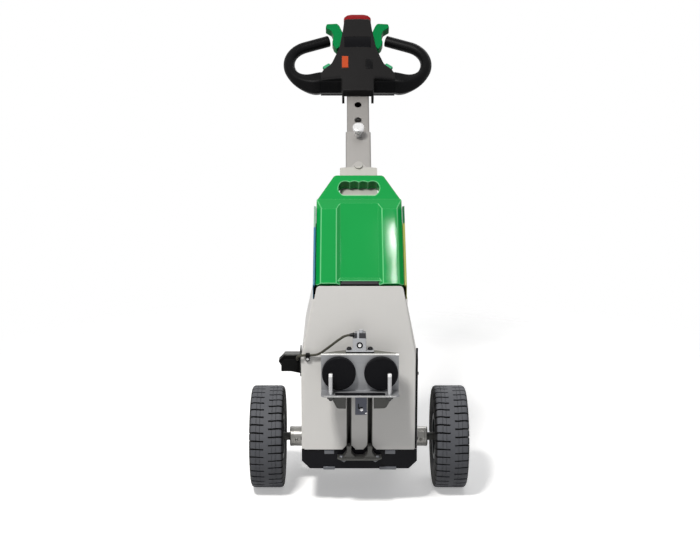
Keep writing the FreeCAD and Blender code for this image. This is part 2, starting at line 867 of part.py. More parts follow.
def battery_case():
    """The moulded pack: deep body, handle end with its finger opening, and the column block."""
    handle_end = slab(case_outline(), -handle_depth, -handle_face)
    front = edges_at(handle_end, lambda c, e: abs(c.z + handle_face) < 0.1 and c.y > hip_height - 3)
    back = edges_at(handle_end, lambda c, e: abs(c.z + handle_depth) < 0.1 and c.y > hip_height - 3)
    handle_end = handle_end.makeFillet(case_edge, front + back)
    deep = slab(symmetric([
        (case_half, case_start, case_corner), (case_half, case_end, case_corner),
    ]), -case_depth, -handle_depth)
    case = handle_end.fuse([deep, column_block().common(
        slab(case_outline(), -handle_depth, room))])
    ledge = slab([
        (latch_end, -handle_face), (latch_end, -ledge_face), (channel_low, -channel_depth),
        (channel_low, -handle_face),
    ], -column_inner, column_inner, side_frame)
    latch_room = box(-channel_half, channel_half, case_start - room, latch_end, -handle_face, room)
    case = case.fuse(ledge).cut(latch_room)
    case = case.cut(handle_opening(-handle_depth - room, room))
    return placed(case.removeSplitter(), lean_frame)


def battery_latch():
    """The catch bar across the channel's lower end."""
    half = channel_half - clearance
    high = latch_end - clearance
    bar = slab(symmetric([(half, case_start), (half - 5, high, 2)]),
               -handle_face + clearance, -ledge_face - 1)
    return placed(bar, lean_frame)


pieces["battery_case"] = battery_case()
pieces["battery_latch"] = battery_latch()

# ---- tiller mast -----------------------------------------------------------------------------
inner_half = tube_width / 2 - tube_wall - telescope_clearance
inner_face = tube_face + tube_wall + telescope_clearance
inner_depth = tube_depth - 2 * (tube_wall + telescope_clearance)
plunger_nose = plunger_nose_diameter / 2
plunger_body = 10
plunger_neck = 6
plunger_knob = 15
bracket_face = tube_face - clearance
shoulder = 20                   # half the width of the bracket's peak at its foot
boss_radius = 11
boss_height = 4
bracket_back = cap_depth - 18   # the depth of the foot's rear edge
bracket_round = 8


def tube_section(half, face, depth, corner):
    """A rounded rectangle in x and z, centred on the tiller's tubes."""
    low = -face - depth
    return symmetric([(half, low, corner), (half, -face, corner)])


def square_tube(half, face, depth, start, end, corner):
    """A rounded rectangular tube up the lean."""
    outer = up_the_lean(tube_section(half, face, depth, corner), start, end)
    inside = tube_section(half - tube_wall, face + tube_wall, depth - 2 * tube_wall, corner - tube_wall)
    return outer.cut(up_the_lean(inside, start - 1, end + 1))


def front_hole(radius, along, face):
    """A tool for a hole through a tube's front wall."""
    return rod(radius, Vector(0, along, -face - tube_wall - 1), Vector(0, along, -face + 1))


def outer_tube():
    """The tiller's fixed outer tube, with the hole for the index plunger."""
    tube = square_tube(tube_width / 2, tube_face, tube_depth, outer_tube_start, outer_tube_end, 5)
    return placed(tube.cut(front_hole(plunger_nose + running, index_height, tube_face)), lean_frame)


def inner_tube():
    """The sliding inner tube with its row of index holes."""
    tube = square_tube(inner_half, inner_face, inner_depth, inner_tube_start, inner_tube_end, 4)
    for k in range(-2, 3):
        tube = tube.cut(front_hole(index_hole_diameter / 2, index_height + index_pitch * k, inner_face))
    return placed(tube, lean_frame)


def index_plunger():
    """The spring plunger that locks the telescope: round knob, neck, body and nose."""
    front = -tube_face + clearance
    at = [Vector(0, index_height, front + z) for z in (0, 13, 23, 35)]
    body = rod(plunger_body, at[0], at[1])
    neck = rod(plunger_neck, at[1], at[2])
    knob = rod(plunger_knob, at[2], at[3])
    knob = knob.makeFillet(3, edges_at(knob, lambda c, e: e.Length > math.pi * plunger_knob))
    nose = rod(plunger_nose, Vector(0, index_height, -tube_face - tube_wall + clearance), at[0])
    return placed(body.fuse([neck, knob, nose]).removeSplitter(), lean_frame)


def tiller_bracket():
    """The tube's bracket on the body's upper end: front plate with a peak, two flanges, a foot."""
    half = bracket_width / 2
    front = slab(symmetric([
        (half, outer_tube_start, 3), (half, bracket_end - 3, 3), (shoulder, bracket_end, 3),
        (shoulder / 3, bracket_peak, 5),
    ]), -bracket_face, -bracket_face + bracket_sheet)
    inner = tube_width / 2 + clearance
    foot_low = cap_at + clearance
    flange_end = bracket_end - 6
    flange = slab([
        (foot_low, -bracket_face), (foot_low, -bracket_back), (foot_low + 20, -bracket_back, bracket_round),
        (flange_end, -tube_face - tube_depth - 4, bracket_round), (flange_end, -bracket_face),
    ], inner, inner + bracket_sheet, side_frame)
    foot = box(-half, half, foot_low, foot_low + bracket_sheet, -bracket_back, -panel_depth - 2)
    boss_foot = Vector(0, bracket_end + 4, -bracket_face)
    boss = rod(boss_radius, boss_foot, boss_foot + Vector(0, 0, bracket_sheet + boss_height))
    bracket = front.fuse([flange, mirrored(flange), foot, boss]).removeSplitter()
    return placed(bracket, lean_frame)


pieces["tiller_outer_tube"] = outer_tube()
pieces["tiller_inner_tube"] = inner_tube()
pieces["index_plunger"] = index_plunger()
pieces["tiller_bracket"] = tiller_bracket()

# ---- tiller head -----------------------------------------------------------------------------
tube_back = inner_face + inner_depth
head_back = -tube_back - 8
head_edge = 4
crease = head_start + 43        # where the wing's front turns back
wing_front = head_front - head_crown
crown_radius = (wing_reach ** 2 + head_crown ** 2) / (2 * head_crown)
ear_start = head_start - 8
ear_gap = 6.5                   # between the tube's side and the ear
ear_thickness = 6.5
label_low = head_start + 154
label_height = 39
label_half = 37
# the wing's section in y and z of the lean frame, from its crease round to its front
wing_section = [
    (crease, wing_front), (crease - 19, wing_front - 29), (crease - 4, head_back + 9),
    (crease + 28, head_back + 9), (crease + 44, wing_front - 23), (crease + 30, wing_front),
]
wing_middle = (crease + 10, wing_front - 27)


def head_sides():
    """The column's right-hand edge, from its foot to its crown."""
    return [
        (block_half, head_start, 5), (block_half, crease, 3), (wing_reach, crease),
        (wing_reach, crease + 26), (92, crease + 41, 8), (72, crease + 56, 30), (51, crease + 111, 90),
        (41, crease + 175, 60), (head_top_half, head_end, 8),
    ]


def crown(drop):
    """The big cylinder whose surface, that much deeper, is the head's crowned face."""
    radius = crown_radius - drop
    middle = Vector(0, 0, head_front - crown_radius)
    return rod(radius, middle + Vector(0, outer_tube_end, 0), middle + Vector(0, head_end + room, 0))


def on_crown(vertex):
    """Whether a corner lies on the head's crowned face."""
    reach = math.hypot(vertex.X, vertex.Z - head_front + crown_radius)
    return abs(reach - crown_radius) < 0.05


def section_reach(angle):
    """How far the wing's section reaches from its middle in a direction."""
    along = Vector(math.cos(angle), math.sin(angle), 0)
    corners = [Vector(y - wing_middle[0], z - wing_middle[1], 0) for y, z in wing_section]
    best = 0
    for start, end in zip(corners, corners[1:] + corners[:1]):
        side = end - start
        turn = along.x * side.y - along.y * side.x
        if abs(turn) < 1e-9:
            continue
        distance = (start.x * side.y - start.y * side.x) / turn
        share = (start.x * along.y - start.y * along.x) / turn
        if distance > best and -1e-9 <= share <= 1 + 1e-9:
            best = distance
    return best


def bar_section(middle, heading, roundness):
    """A closed curve across the bar: the wing's section at 0, a circle of the grip's size at 1."""
    count = 28
    across_bar = Vector(-math.sin(heading), math.cos(heading), 0)
    points = []
    for k in range(count):
        angle = 2 * math.pi * k / count
        reach = section_reach(angle) * (1 - roundness) + grip_diameter / 2 * roundness
        points.append(middle + across_bar * (reach * math.cos(angle))
                      + Vector(0, 0, reach * math.sin(angle)))
    curve = Part.BSplineCurve()
    curve.interpolate(points, PeriodicFlag=True)
    return Part.Wire(curve.toShape())


def wings():
    """The bar across the head that ends in the two grips."""
    start = Vector(-wing_reach, *wing_middle)
    return Part.Face(bar_section(start, 0, 0)).extrude(Vector(2 * wing_reach, 0, 0))


def column():
    """The bell-shaped column with its crowned face and a bevelled underside behind the tube's face."""
    bell = slab(symmetric(head_sides()), head_back, head_front + 1).common(crown(0))
    front = [e for e in bell.Edges if all(on_crown(v) for v in e.Vertexes)
             and abs(abs(e.BoundBox.Center.x) - wing_reach) > 1]
    bell = bell.makeFillet(head_edge, front)
    underside = slab([
        (head_start - room, -inner_face), (head_start + 4, -inner_face), (crease, head_back),
        (crease, head_back - room), (head_start - room, head_back - room),
    ], -block_half - room, block_half + room, side_frame)
    return bell.cut(underside)


def tiller_head():
    """The head's housing: column, wings, clamp ears, the tube's socket and a recess for a label."""
    ear_inner = inner_half + ear_gap
    ear = box(ear_inner, ear_inner + ear_thickness, ear_start, crease, -inner_face - 20, -inner_face + 4)
    head = column().fuse([wings(), ear, mirrored(ear)])
    socket = tube_section(inner_half + clearance, inner_face - clearance, inner_depth + 2 * clearance, 4)
    head = head.cut(up_the_lean(socket, ear_start - 1, inner_tube_end + clearance))
    label = slab(symmetric([
        (label_half, label_low, 2), (label_half, label_low + label_height, 2),
    ]), head_front - room, head_front + room)
    head = head.cut(label.cut(crown(1)))
    return placed(head.removeSplitter(), lean_frame)


side_line = grip_reach          # the grip's outermost straight stretch
low_bend = Vector(side_line - 70, head_start + 120, grip_depth)
grip_end = Vector(79, crease + 164, grip_depth)


def low_arc(angle):
    """A point on the grip's lower bend and its heading there, from the wing outwards."""
    radius = side_line - low_bend.x
    heading = math.radians(angle)
    return low_bend + Vector(math.sin(heading), -math.cos(heading), 0) * radius, heading


def grip():
    """A loop grip: it leaves the wing with its section and rounds into a bar that curls back."""
    sections = [bar_section(Vector(wing_reach + clearance, *wing_middle), 0, 0)]
    for angle, roundness in ((9, 0.2), (30, 0.62), (48, 0.9)):
        at, heading = low_arc(angle)
        at.z = wing_middle[1] * (1 - roundness) + grip_depth * roundness
        sections.append(bar_section(at, heading, roundness))
    start, heading = low_arc(64)
    forward = Vector(math.cos(heading), math.sin(heading), 0)
    circle = Part.Circle(start, forward, grip_diameter / 2)
    circle.rotate(Placement(start, Rotation(forward, 0)))
    round_end = Part.Wire(circle.toShape())
    root = Part.makeLoft(sections + [round_end], True, False)
    turn_point = Vector(side_line, crease + 124, grip_depth)
    side_start = low_arc(90)[0]
    bend = corner_cut(side_start, turn_point, grip_end, 66)
    path = Part.Wire([
        Part.Arc(start, low_arc(77)[0], side_start).toShape(),
        Part.LineSegment(side_start, bend[0]).toShape(),
        Part.Arc(*bend).toShape(),
        Part.LineSegment(bend[2], grip_end).toShape(),
    ])
    bar = path.makePipeShell([Part.Wire(Part.makeCircle(grip_diameter / 2, start, forward))], True, False)
    last = edges_at(bar, lambda c, e: (c - grip_end).Length < 1)
    return placed(root.fuse(bar.makeFillet(3, last)), lean_frame)


def column_edge(along):
    """How far out the column's side is at a place up the lean, with the lever's clearance."""
    low, high = head_sides()[-3:-1]
    share = (along - low[1]) / (high[1] - low[1])
    return low[0] + (high[0] - low[0]) * share + clearance


lever_low = crease + 114
lever_front = head_front - 10
lever_back = head_front - 34


def thumb_lever():
    """A butterfly thumb lever that curls outwards at its top."""
    lever = slab([
        (column_edge(lever_low + 62), lever_low + 62), (50, lever_low + 86, 8), (56, lever_low + 95, 6),
        (86, lever_low + 93, 4), (89, lever_low + 80, 5), (72, lever_low + 67, 8),
        (67.5, lever_low + 52, 15), (67.5, lever_low + 38, 15), (70, lever_low + 26, 10),
        (65, lever_low + 10, 6), (57, lever_low, 3), (column_edge(lever_low + 9), lever_low + 9),
    ], lever_back, lever_front)
    soft = edges_at(lever, lambda c, e: abs(c.z - lever_front) < 0.1 and c.x > column_edge(lever_low) + 3)
    return placed(lever.makeFillet(2.5, soft), lean_frame)


def belly_button():
    """The domed red safety button across the head's crown."""
    low = head_end + clearance
    button = slab(symmetric([(head_top_half + 1, low), (head_top_half + 1, low + 9, 5), (16, low + 20, 12)]),
                  head_back + 8, head_front - 8)
    soft = edges_at(button, lambda c, e: abs(c.z - head_front + 8) < 0.1 and c.y > low + 1)
    return placed(button.makeFillet(4, soft), lean_frame)


def rocker_switch():
    """The orange rocker on the head's face."""
    rocker = box(-43, -26, crease + 35, crease + 76, head_front - 4, head_front + 2.5)
    return placed(rocker.cut(crown(-clearance)), lean_frame)


pieces["tiller_head"] = tiller_head()
both_sides("grip", grip())
pieces["thumb_levers"] = pair(thumb_lever())
pieces["belly_button"] = belly_button()
pieces["rocker_switch"] = rocker_switch()

# ---- castors ---------------------------------------------------------------------------------
fork_gap = castor_width / 2 + 5
kingpin_radius = kingpin_diameter / 2
castor_axle = castor_axle_diameter / 2
crown_top = crown_low + crown_sheet
mount_sheet = 4
mount_half = 32
mount_reach = 36
mount_plate_bottom = deck_bottom - clearance - mount_sheet
housing_radius = 24
leg_half = 18                   # half the fork's width along the machine, at its crown
leg_round = 13                  # and round the axle
bolt_head = 5
castor_hub = 12
tread_depth = 12


def castor_at(x, y, z):
    """A point near the right-hand castor, from its swivel axis on the floor."""
    return Vector(castor_spacing / 2 + x, castor_pivot + y, z)


def castor_mount():
    """The castor's top plate and swivel housing, under the rear deck."""
    plate = box(-mount_half, mount_half, -mount_reach, mount_reach,
                mount_plate_bottom, deck_bottom - clearance)
    upright = edges_at(plate, lambda c, e: abs(e.tangentAt(e.FirstParameter).z) > 0.9)
    plate = plate.makeFillet(6, upright)
    plate.translate(castor_at(0, 0, 0))
    housing_foot = castor_at(0, 0, crown_top + clearance)
    housing = rod(housing_radius, housing_foot, castor_at(0, 0, mount_plate_bottom + 1))
    socket = rod(kingpin_radius + running, castor_at(0, 0, crown_low), castor_at(0, 0, deck_bottom - 2))
    return plate.fuse(housing).removeSplitter().cut(socket)


def castor_fork():
    """The swivelling fork: crown, two trailing legs, kingpin and the wheel's axle bolt."""
    crown_disc = rod(housing_radius + 2, castor_at(0, 0, crown_low), castor_at(0, 0, crown_top))
    axle_z = castor_diameter / 2
    axle_y = castor_pivot + castor_trail
    leg_low = castor_spacing / 2 + fork_gap
    leg = slab([
        (castor_pivot - leg_half, crown_top, 4), (castor_pivot - leg_half, crown_low - leg_round, 20),
        (axle_y - leg_round, axle_z - leg_round, leg_round - 1),
        (axle_y + leg_round, axle_z - leg_round, leg_round - 1),
        (axle_y + leg_round / 2, crown_low - leg_round, 20), (castor_pivot + leg_half, crown_top, 4),
    ], leg_low, leg_low + fork_sheet, side_frame)
    other = leg.copy()
    other.translate(Vector(-2 * fork_gap - fork_sheet, 0, 0))
    top = box(-fork_gap - fork_sheet, fork_gap + fork_sheet, -leg_half, leg_half, crown_low, crown_top)
    top.translate(castor_at(0, 0, 0))
    kingpin = rod(kingpin_radius, castor_at(0, 0, crown_low), castor_at(0, 0, deck_bottom - 3))
    reach = fork_gap + fork_sheet + bolt_head
    bolt = rod(castor_axle, castor_at(-reach, castor_trail, axle_z), castor_at(reach, castor_trail, axle_z))
    return crown_disc.fuse([leg, other, top, kingpin, bolt]).removeSplitter()


def castor_wheel():
    """The castor's wheel with its tread and hub."""
    radius = castor_diameter / 2
    half = castor_width / 2
    bore = castor_axle + running
    right = [
        (half + 3, bore), (half + 3, castor_hub, 1), (half - 4, castor_hub, 2),
        (half - 4, radius - tread_depth - 2, 2), (half, radius - tread_depth, 2), (half, radius, 5),
    ]
    return turned(symmetric(right), castor_at(0, castor_trail, radius))


pieces["castor_mounts"] = pair(castor_mount())
both_sides("castor_fork", castor_fork())
both_sides("castor_wheel", castor_wheel())

# ---- the machine's own frame and the files ---------------------------------------------------
whole = Part.makeCompound(list(pieces.values())).optimalBoundingBox(False, False)
shift = -(whole.YMin + whole.YMax) / 2
os.makedirs("parts", exist_ok=True)
for name, shape in pieces.items():
    moved = shape.copy()
    moved.translate(Vector(0, shift, 0))
    moved.exportStep(os.path.join("parts", name + ".step"))
print("drive axle at y =", round(shift, 4))
print("size", [round(v, 2) for v in (whole.XLength, whole.YLength, whole.ZLength)], "low", round(whole.ZMin, 4))
print(len(pieces), "pieces")
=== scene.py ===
# %% [markdown]
# A pedestrian electric tow tractor is a walk-behind machine that pulls carts. This lesson dresses
# its engineering model: the packed steel, rubber and plastic pieces come in as a fixed frame, and
# each step adds the finish or the small hardware that the plain solids lack. The frame is never
# moved, so every new piece takes its place from the frame's own boxes.

import json
import math

import bmesh
import bpy
from mathutils import Matrix, Vector

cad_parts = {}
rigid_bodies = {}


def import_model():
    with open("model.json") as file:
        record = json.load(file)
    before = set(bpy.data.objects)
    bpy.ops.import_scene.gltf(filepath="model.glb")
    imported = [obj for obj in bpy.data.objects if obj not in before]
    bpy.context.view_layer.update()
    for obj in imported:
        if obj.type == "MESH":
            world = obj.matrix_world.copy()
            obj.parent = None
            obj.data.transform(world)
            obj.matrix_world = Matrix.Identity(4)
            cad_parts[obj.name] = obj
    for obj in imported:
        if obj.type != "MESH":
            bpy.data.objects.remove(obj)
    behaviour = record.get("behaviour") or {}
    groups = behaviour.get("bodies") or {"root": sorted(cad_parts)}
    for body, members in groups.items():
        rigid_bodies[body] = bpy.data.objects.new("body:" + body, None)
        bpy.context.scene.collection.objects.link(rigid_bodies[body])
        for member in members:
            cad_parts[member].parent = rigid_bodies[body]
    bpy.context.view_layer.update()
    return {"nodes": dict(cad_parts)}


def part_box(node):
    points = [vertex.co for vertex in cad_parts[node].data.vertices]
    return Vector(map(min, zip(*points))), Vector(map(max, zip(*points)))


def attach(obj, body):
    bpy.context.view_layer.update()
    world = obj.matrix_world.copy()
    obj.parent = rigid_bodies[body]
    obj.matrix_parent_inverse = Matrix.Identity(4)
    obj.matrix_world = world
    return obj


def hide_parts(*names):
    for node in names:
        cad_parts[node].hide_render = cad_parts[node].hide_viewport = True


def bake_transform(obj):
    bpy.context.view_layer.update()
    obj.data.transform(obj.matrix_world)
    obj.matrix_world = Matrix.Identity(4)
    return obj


for leftover in list(bpy.data.objects):
    bpy.data.objects.remove(leftover)
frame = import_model()
nodes = frame["nodes"]
MM = 0.001

# %% [markdown]
# Most small pieces sit on a flat side of the machine, and its left and right sides are alike. A few
# directions and the middles of boxes are enough to place them, so they get plain names first. The
# front plate and the drive axle are the two things that the rest is measured from.

# %% Directions and middles
FRONT = Vector((0, -1, 0))
BACK = Vector((0, 1, 0))
RIGHT = Vector((1, 0, 0))
UP = Vector((0, 0, 1))
SIDES = (("left", -1), ("right", 1))
STANDING = Matrix.Rotation(math.radians(90), 4, "X")


def middle_of(name):
    """The middle of a frame piece's box."""
    return sum(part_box(name), Vector()) / 2


def shift(x, y, z):
    """The placement that moves a shape to a point, in metres, without turning it."""
    return Matrix.Translation((x, y, z))


plate_low, plate_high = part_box("front_plate")
plate_front = plate_low.y
axle = middle_of("left_tyre")
axle.x = 0
print("front plate at", round(plate_front, 4), "and drive axle", tuple(round(v, 4) for v in axle))

# %% [markdown]
# The battery, the tiller and its head all lean back at 45 degrees from the top edge of the front
# plate. Measuring them upright would be awkward, so a leaning ruler is set up: how far across, how
# far up the lean, and how far out of the battery's face.

# %% A ruler for the leaning half
SLANT = math.sqrt(0.5)
UP_LEAN = Vector((0, SLANT, SLANT))
OUT_LEAN = Vector((0, -SLANT, SLANT))
plate_top_edge = Vector((0, plate_front, plate_high.z))


def on_lean(across, along, out):
    """A point of the leaning half, from millimetres on the leaning ruler."""
    return plate_top_edge + (RIGHT * across + UP_LEAN * along + OUT_LEAN * out) * MM


def leaning(across, along, out):
    """The placement of a shape that lies back with the lean, at a point of the ruler."""
    return Matrix.Translation(on_lean(across, along, out)) @ Matrix.Rotation(math.radians(45), 4, "X")


print("the ruler starts at", tuple(round(v, 4) for v in on_lean(0, 0, 0)))

# %% [markdown]
# The machine is shown as in a plain product view: from in front of the coupling, a little above it.
# A wide lens close by would swell the tyres, so a long lens stands three metres off, which keeps
# the sides nearly parallel. A small shift frames the machine without turning the camera.

# %% Camera
DOWNWARD = 12
camera_data = bpy.data.cameras.new("front_view")
camera_data.lens = 63.26
camera_data.shift_x = 0.0099
camera_data.shift_y = -0.0211
camera_data.clip_end = 50
camera = bpy.data.objects.new("front_view", camera_data)
camera.location = (-0.040, -3.1548, 1.250)
camera.rotation_euler = (math.radians(90 - DOWNWARD), 0, 0)
bpy.context.scene.collection.objects.link(camera)
bpy.context.scene.camera = camera
bpy.context.scene.view_settings.view_transform = "Standard"
print("camera at", tuple(round(v, 4) for v in camera.location), "looking down", DOWNWARD, "degrees")

# %% [markdown]
# One soft lamp from the upper left shapes the machine, and two weaker ones keep its right side and
# its back open. A point lamp would burn a hard spot into bare sheet, so all are areas. The glossy
# battery shows a tall bright streak on its right column. That streak is a reflection, so it gets
# two narrow lamps of its own, hung where the column mirrors them and too weak to light much else.


# %% Lamps
def lamp(name, at, aim, size, power, colour=(1, 1, 1), length=None):
    """A soft lamp, square or with a length of its own, that points at a place."""
    data = bpy.data.lights.new(name, "AREA")
    data.shape = "RECTANGLE"
    data.size = size
    data.size_y = length or size
    data.energy = power
    data.color = colour
    made = bpy.data.objects.new(name, data)
    made.location = at
    made.rotation_euler = (Vector(aim) - Vector(at)).to_track_quat("-Z", "Y").to_euler()
    bpy.context.scene.collection.objects.link(made)
    return made


lamp("key_lamp", (-0.8, -1.85, 3.0), (0, -0.2, 0.45), 0.5, 108, (1, 0.985, 0.96))
lamp("fill_lamp", (2.4, -2.6, 1.5), (0, 0, 0.5), 2.4, 5, (0.72, 0.80, 1.0))
lamp("back_lamp", (0.8, 2.8, 2.6), (0, 0, 0.6), 2.0, 40)
battery_column = (0.09, -0.21, 0.64)
streak = lamp("strip_lamp", (0.166, -0.66, 2.62), battery_column, 0.009, 1.1, length=0.25)
streak.rotation_euler.rotate_axis("Z", math.radians(-6))
lamp("patch_lamp", (0.160, -0.60, 2.62), battery_column, 0.018, 0.5, length=0.07)
print(len(bpy.data.lights), "lamps:", [made.name for made in bpy.data.lights])

# %% [markdown]
# A material is a small sum over the surface: a base colour, plus or minus what grain, dirt and wear
# do to it. Linking Math nodes one by one makes such a sum hard to read. The class below lets it be
# written as plain arithmetic instead: each operator adds the node that does its work.


# %% Sums over a surface
class Value:
    """A number or colour that changes over a surface. Arithmetic on it adds Math nodes."""

    def __init__(self, tree, socket):
        self.tree = tree
        self.socket = socket

    def sum_node(self, operation, *terms):
        """One Math node with its terms linked or set."""
        return add_node(self.tree, "Math", {"operation": operation}, dict(enumerate(terms)))

    def __add__(self, other):
        return self.sum_node("ADD", self, other)

    def __radd__(self, other):
        return self.sum_node("ADD", other, self)

    def __sub__(self, other):
        return self.sum_node("SUBTRACT", self, other)

    def __rsub__(self, other):
        return self.sum_node("SUBTRACT", other, self)

    def __mul__(self, other):
        return self.sum_node("MULTIPLY", self, other)

    def __rmul__(self, other):
        return self.sum_node("MULTIPLY", other, self)

    def __abs__(self):
        return self.sum_node("ABSOLUTE", self)

    def root(self):
        """Its square root."""
        return self.sum_node("SQRT", self)

    def step(self, start, end):
        """0 up to start, 1 from end on, and a smooth rise between them."""
        return add_node(self.tree, "MapRange", {"interpolation_type": "SMOOTHSTEP"},
                        {"Value": self, "From Min": start, "From Max": end}, "Result")


print("a Value can do:", [name for name in vars(Value) if callable(vars(Value)[name])])

# %% [markdown]
# Every node is made the same way, so one function makes them all. A node's settings come first,
# because a setting can change which sockets the node has. Then each socket is either linked to a
# Value or set to a plain number, colour or vector.


# %% One function for every node
def connect(tree, slot, term):
    """Links a Value to a socket, or sets a plain number, colour or vector on it."""
    if isinstance(term, Value):
        tree.links.new(term.socket, slot)
    elif hasattr(term, "__len__") and len(slot.default_value) == 4:
        slot.default_value = tuple(term)[:3] + (1,)
    else:
        slot.default_value = term


def add_node(tree, kind, settings, terms, output=0):
    """Any shader node: its settings first, then its sockets. Gives one of its outputs."""
    made = tree.nodes.new("ShaderNode" + kind)
    for name, setting in settings.items():
        setattr(made, name, setting)
    for name, term in terms.items():
        connect(tree, made.inputs[name], term)
    return Value(tree, made.outputs[output])


print("nodes take a Value, or a number, colour or vector")

# %% [markdown]
# Every finish starts as one shader with a colour and a roughness, and then asks where on the piece
# a point is, adds noise and mixes colours. A second class holds those few steps. Places are read
# from Object coordinates, which stay on the piece when it moves. Real edges are never quite sharp,
# so the bump also rounds them a little, which gives each edge its thin line of light.


# %% A material in the making
class Finish:
    """A material in the making."""

    def __init__(self, name, colour, roughness, metallic=0.0, gloss=0.5):
        self.material = bpy.data.materials.new(name)
        self.material.use_nodes = True
        self.tree = self.material.node_tree
        self.shader = self.tree.nodes["Principled BSDF"]
        self.set(Base_Color=colour, Roughness=roughness, Metallic=metallic,
                 Specular_IOR_Level=gloss)

    def set(self, **terms):
        """Feeds the shader's sockets."""
        for name, term in terms.items():
            connect(self.tree, self.shader.inputs[name.replace("_", " ")], term)

    def node(self, kind, settings, terms, output=0):
        """Any shader node of this material."""
        return add_node(self.tree, kind, settings, terms, output)

    def place(self, move=(0, 0, 0), turn=(0, 0, 0), scale=(1, 1, 1)):
        """Where a point of the piece is, moved, turned and stretched."""
        here = self.node("TexCoord", {}, {}, "Object")
        return self.node("Mapping", {}, {"Vector": here, "Location": move, "Rotation": turn,
                                         "Scale": scale})

    def axes(self, move=(0, 0, 0)):
        """The point's three coordinates, each as a Value in metres."""
        split = self.node("SeparateXYZ", {}, {"Vector": self.place(move)}, "X")
        outputs = split.socket.node.outputs
        return split, Value(self.tree, outputs["Y"]), Value(self.tree, outputs["Z"])

    def noise(self, scale, detail, stretch=(1, 1, 1), turn=(0, 0, 0)):
        """Soft random patches from 0 to 1, which a stretch draws out into streaks."""
        return self.node("TexNoise", {}, {"Vector": self.place((0, 0, 0), turn, stretch),
                                          "Scale": scale, "Detail": detail})

    def mix(self, share, first, second):
        """A colour between two others."""
        return self.node("Mix", {"data_type": "RGBA"}, {0: share, 6: first, 7: second}, 2)

    def relief(self, height, depth, edge=0.0008):
        """Feeds the normal with a bump that is depth metres deep, over slightly rounded edges."""
        rounded = self.node("Bevel", {"samples": 4}, {"Radius": edge})
        self.set(Normal=self.node("Bump", {}, {"Height": height, "Distance": depth,
                                               "Strength": 1.0, "Normal": rounded}))


def shades(colour, *factors):
    """A colour made darker or lighter by each factor, and never brighter than white."""
    return [[min(1, c * factor) for c in colour] for factor in factors]


print("a Finish can do:", [name for name in vars(Finish) if callable(vars(Finish)[name])])

# %% [markdown]
# The air round the machine is white to the eye, also in a mirror, so that bare steel has something
# bright to reflect. White air would also flood every hollow with light, so the same air lights the
# machine at only a sixth of that strength. The Light Path node tells the two uses apart.


# %% The pale room
def seen_rays(tree):
    """1 for what is seen, also in a mirror or through glass, and 0 for scattered light."""
    camera_ray = add_node(tree, "LightPath", {}, {}, "Is Camera Ray")
    rays = camera_ray.socket.node.outputs
    mirrored = Value(tree, rays["Is Glossy Ray"])
    return camera_ray + mirrored + Value(tree, rays["Is Transmission Ray"])


AIR_LIGHT = 0.17
world = bpy.data.worlds.new("pale_room")
world.use_nodes = True
bpy.context.scene.world = world
background = world.node_tree.nodes["Background"]
background.inputs["Color"].default_value = (1, 1, 1, 1)
air_seen = seen_rays(world.node_tree) * (1 - AIR_LIGHT)
connect(world.node_tree, background.inputs["Strength"], AIR_LIGHT + air_seen)
print("air lights at", AIR_LIGHT, "and is seen at 1")

# %% [markdown]
# Stainless sheet is brushed in one direction. Under soft light the brushing shows as fine streaks
# in the gloss and as a faint cloudiness left by handling, not as drawn lines. Long thin noise gives
# the streaks and a broad noise gives the clouds. The leaning tubes are brushed along their length,
# so their pattern is turned by the same 45 degrees.

# %% Bare metal
ACROSS_GRAIN, ALONG_GRAIN = 700, 14
STREAKS = {"x": (ALONG_GRAIN, ACROSS_GRAIN, ACROSS_GRAIN),
           "z": (ACROSS_GRAIN, ACROSS_GRAIN, ALONG_GRAIN)}
LEAN_TURN = (math.radians(-45), 0, 0)


def brushed(name, colour, roughness, metallic, along="z", turn=(0, 0, 0), clouds=0.10):
    """Brushed bare metal with streaks along one direction."""
    made = Finish(name, colour, roughness, metallic)
    streaks = made.noise(1.0, 4, STREAKS[along], turn)
    patches = made.noise(7.0, 5)
    dull, clean = shades(colour, 1 - clouds, 1 + clouds * 0.6)
    made.set(Base_Color=made.mix(patches * 0.5 + streaks * 0.35, dull, clean),
             Roughness=roughness + (streaks - 0.5) * 0.16 + (patches - 0.5) * 0.12)
    made.relief(streaks, 0.00004)
    return made.material


plate_steel = brushed("plate_steel", (0.67, 0.66, 0.64), 0.50, 0.15, clouds=0.05)
# Partly painted shade: the gusset and the rails' foot under the tray are darkened for the shade
# there, while the half shafts and the socket's bracket are dark steel.
dark_steel_and_shade = brushed("dark_steel_and_shade", (0.070, 0.070, 0.066), 0.45, 0.4, "x", clouds=0.3)
# Painted shade: the coupling's webs, seen through the slots, are near black for the shadow that fills
# the slots.
rail_painted_shade = brushed("rail_painted_shade", (0.016, 0.016, 0.018), 0.5, 0.1, clouds=0.3)
tube_steel = brushed("tube_steel", (0.27, 0.26, 0.25), 0.42, 0.4, "z", LEAN_TURN)
mast_steel = brushed("mast_steel", (0.23, 0.22, 0.21), 0.42, 0.4, "z", LEAN_TURN)
turned_steel = brushed("turned_steel", (0.28, 0.275, 0.26), 0.30, 0.7, "x", clouds=0.2)
bright_steel = brushed("bright_steel", (0.72, 0.72, 0.72), 0.22, 0.7, clouds=0.05)
zinc = brushed("zinc", (0.30, 0.31, 0.33), 0.36, 0.7, clouds=0.22)
clip_steel = brushed("clip_steel", (0.13, 0.135, 0.15), 0.4, 0.4, "x", clouds=0.25)
print(len(bpy.data.materials), "bare metals")

# %% [markdown]
# Paint, rubber and moulded plastic differ in grain and gloss more than in colour. Grips have a
# coarse grain that scatters light, a label is almost smooth, and rubber hardly shines at all. One
# recipe covers them: a fine bump for the grain, and a broad noise for dust, which makes a surface
# both paler and duller where it lies.


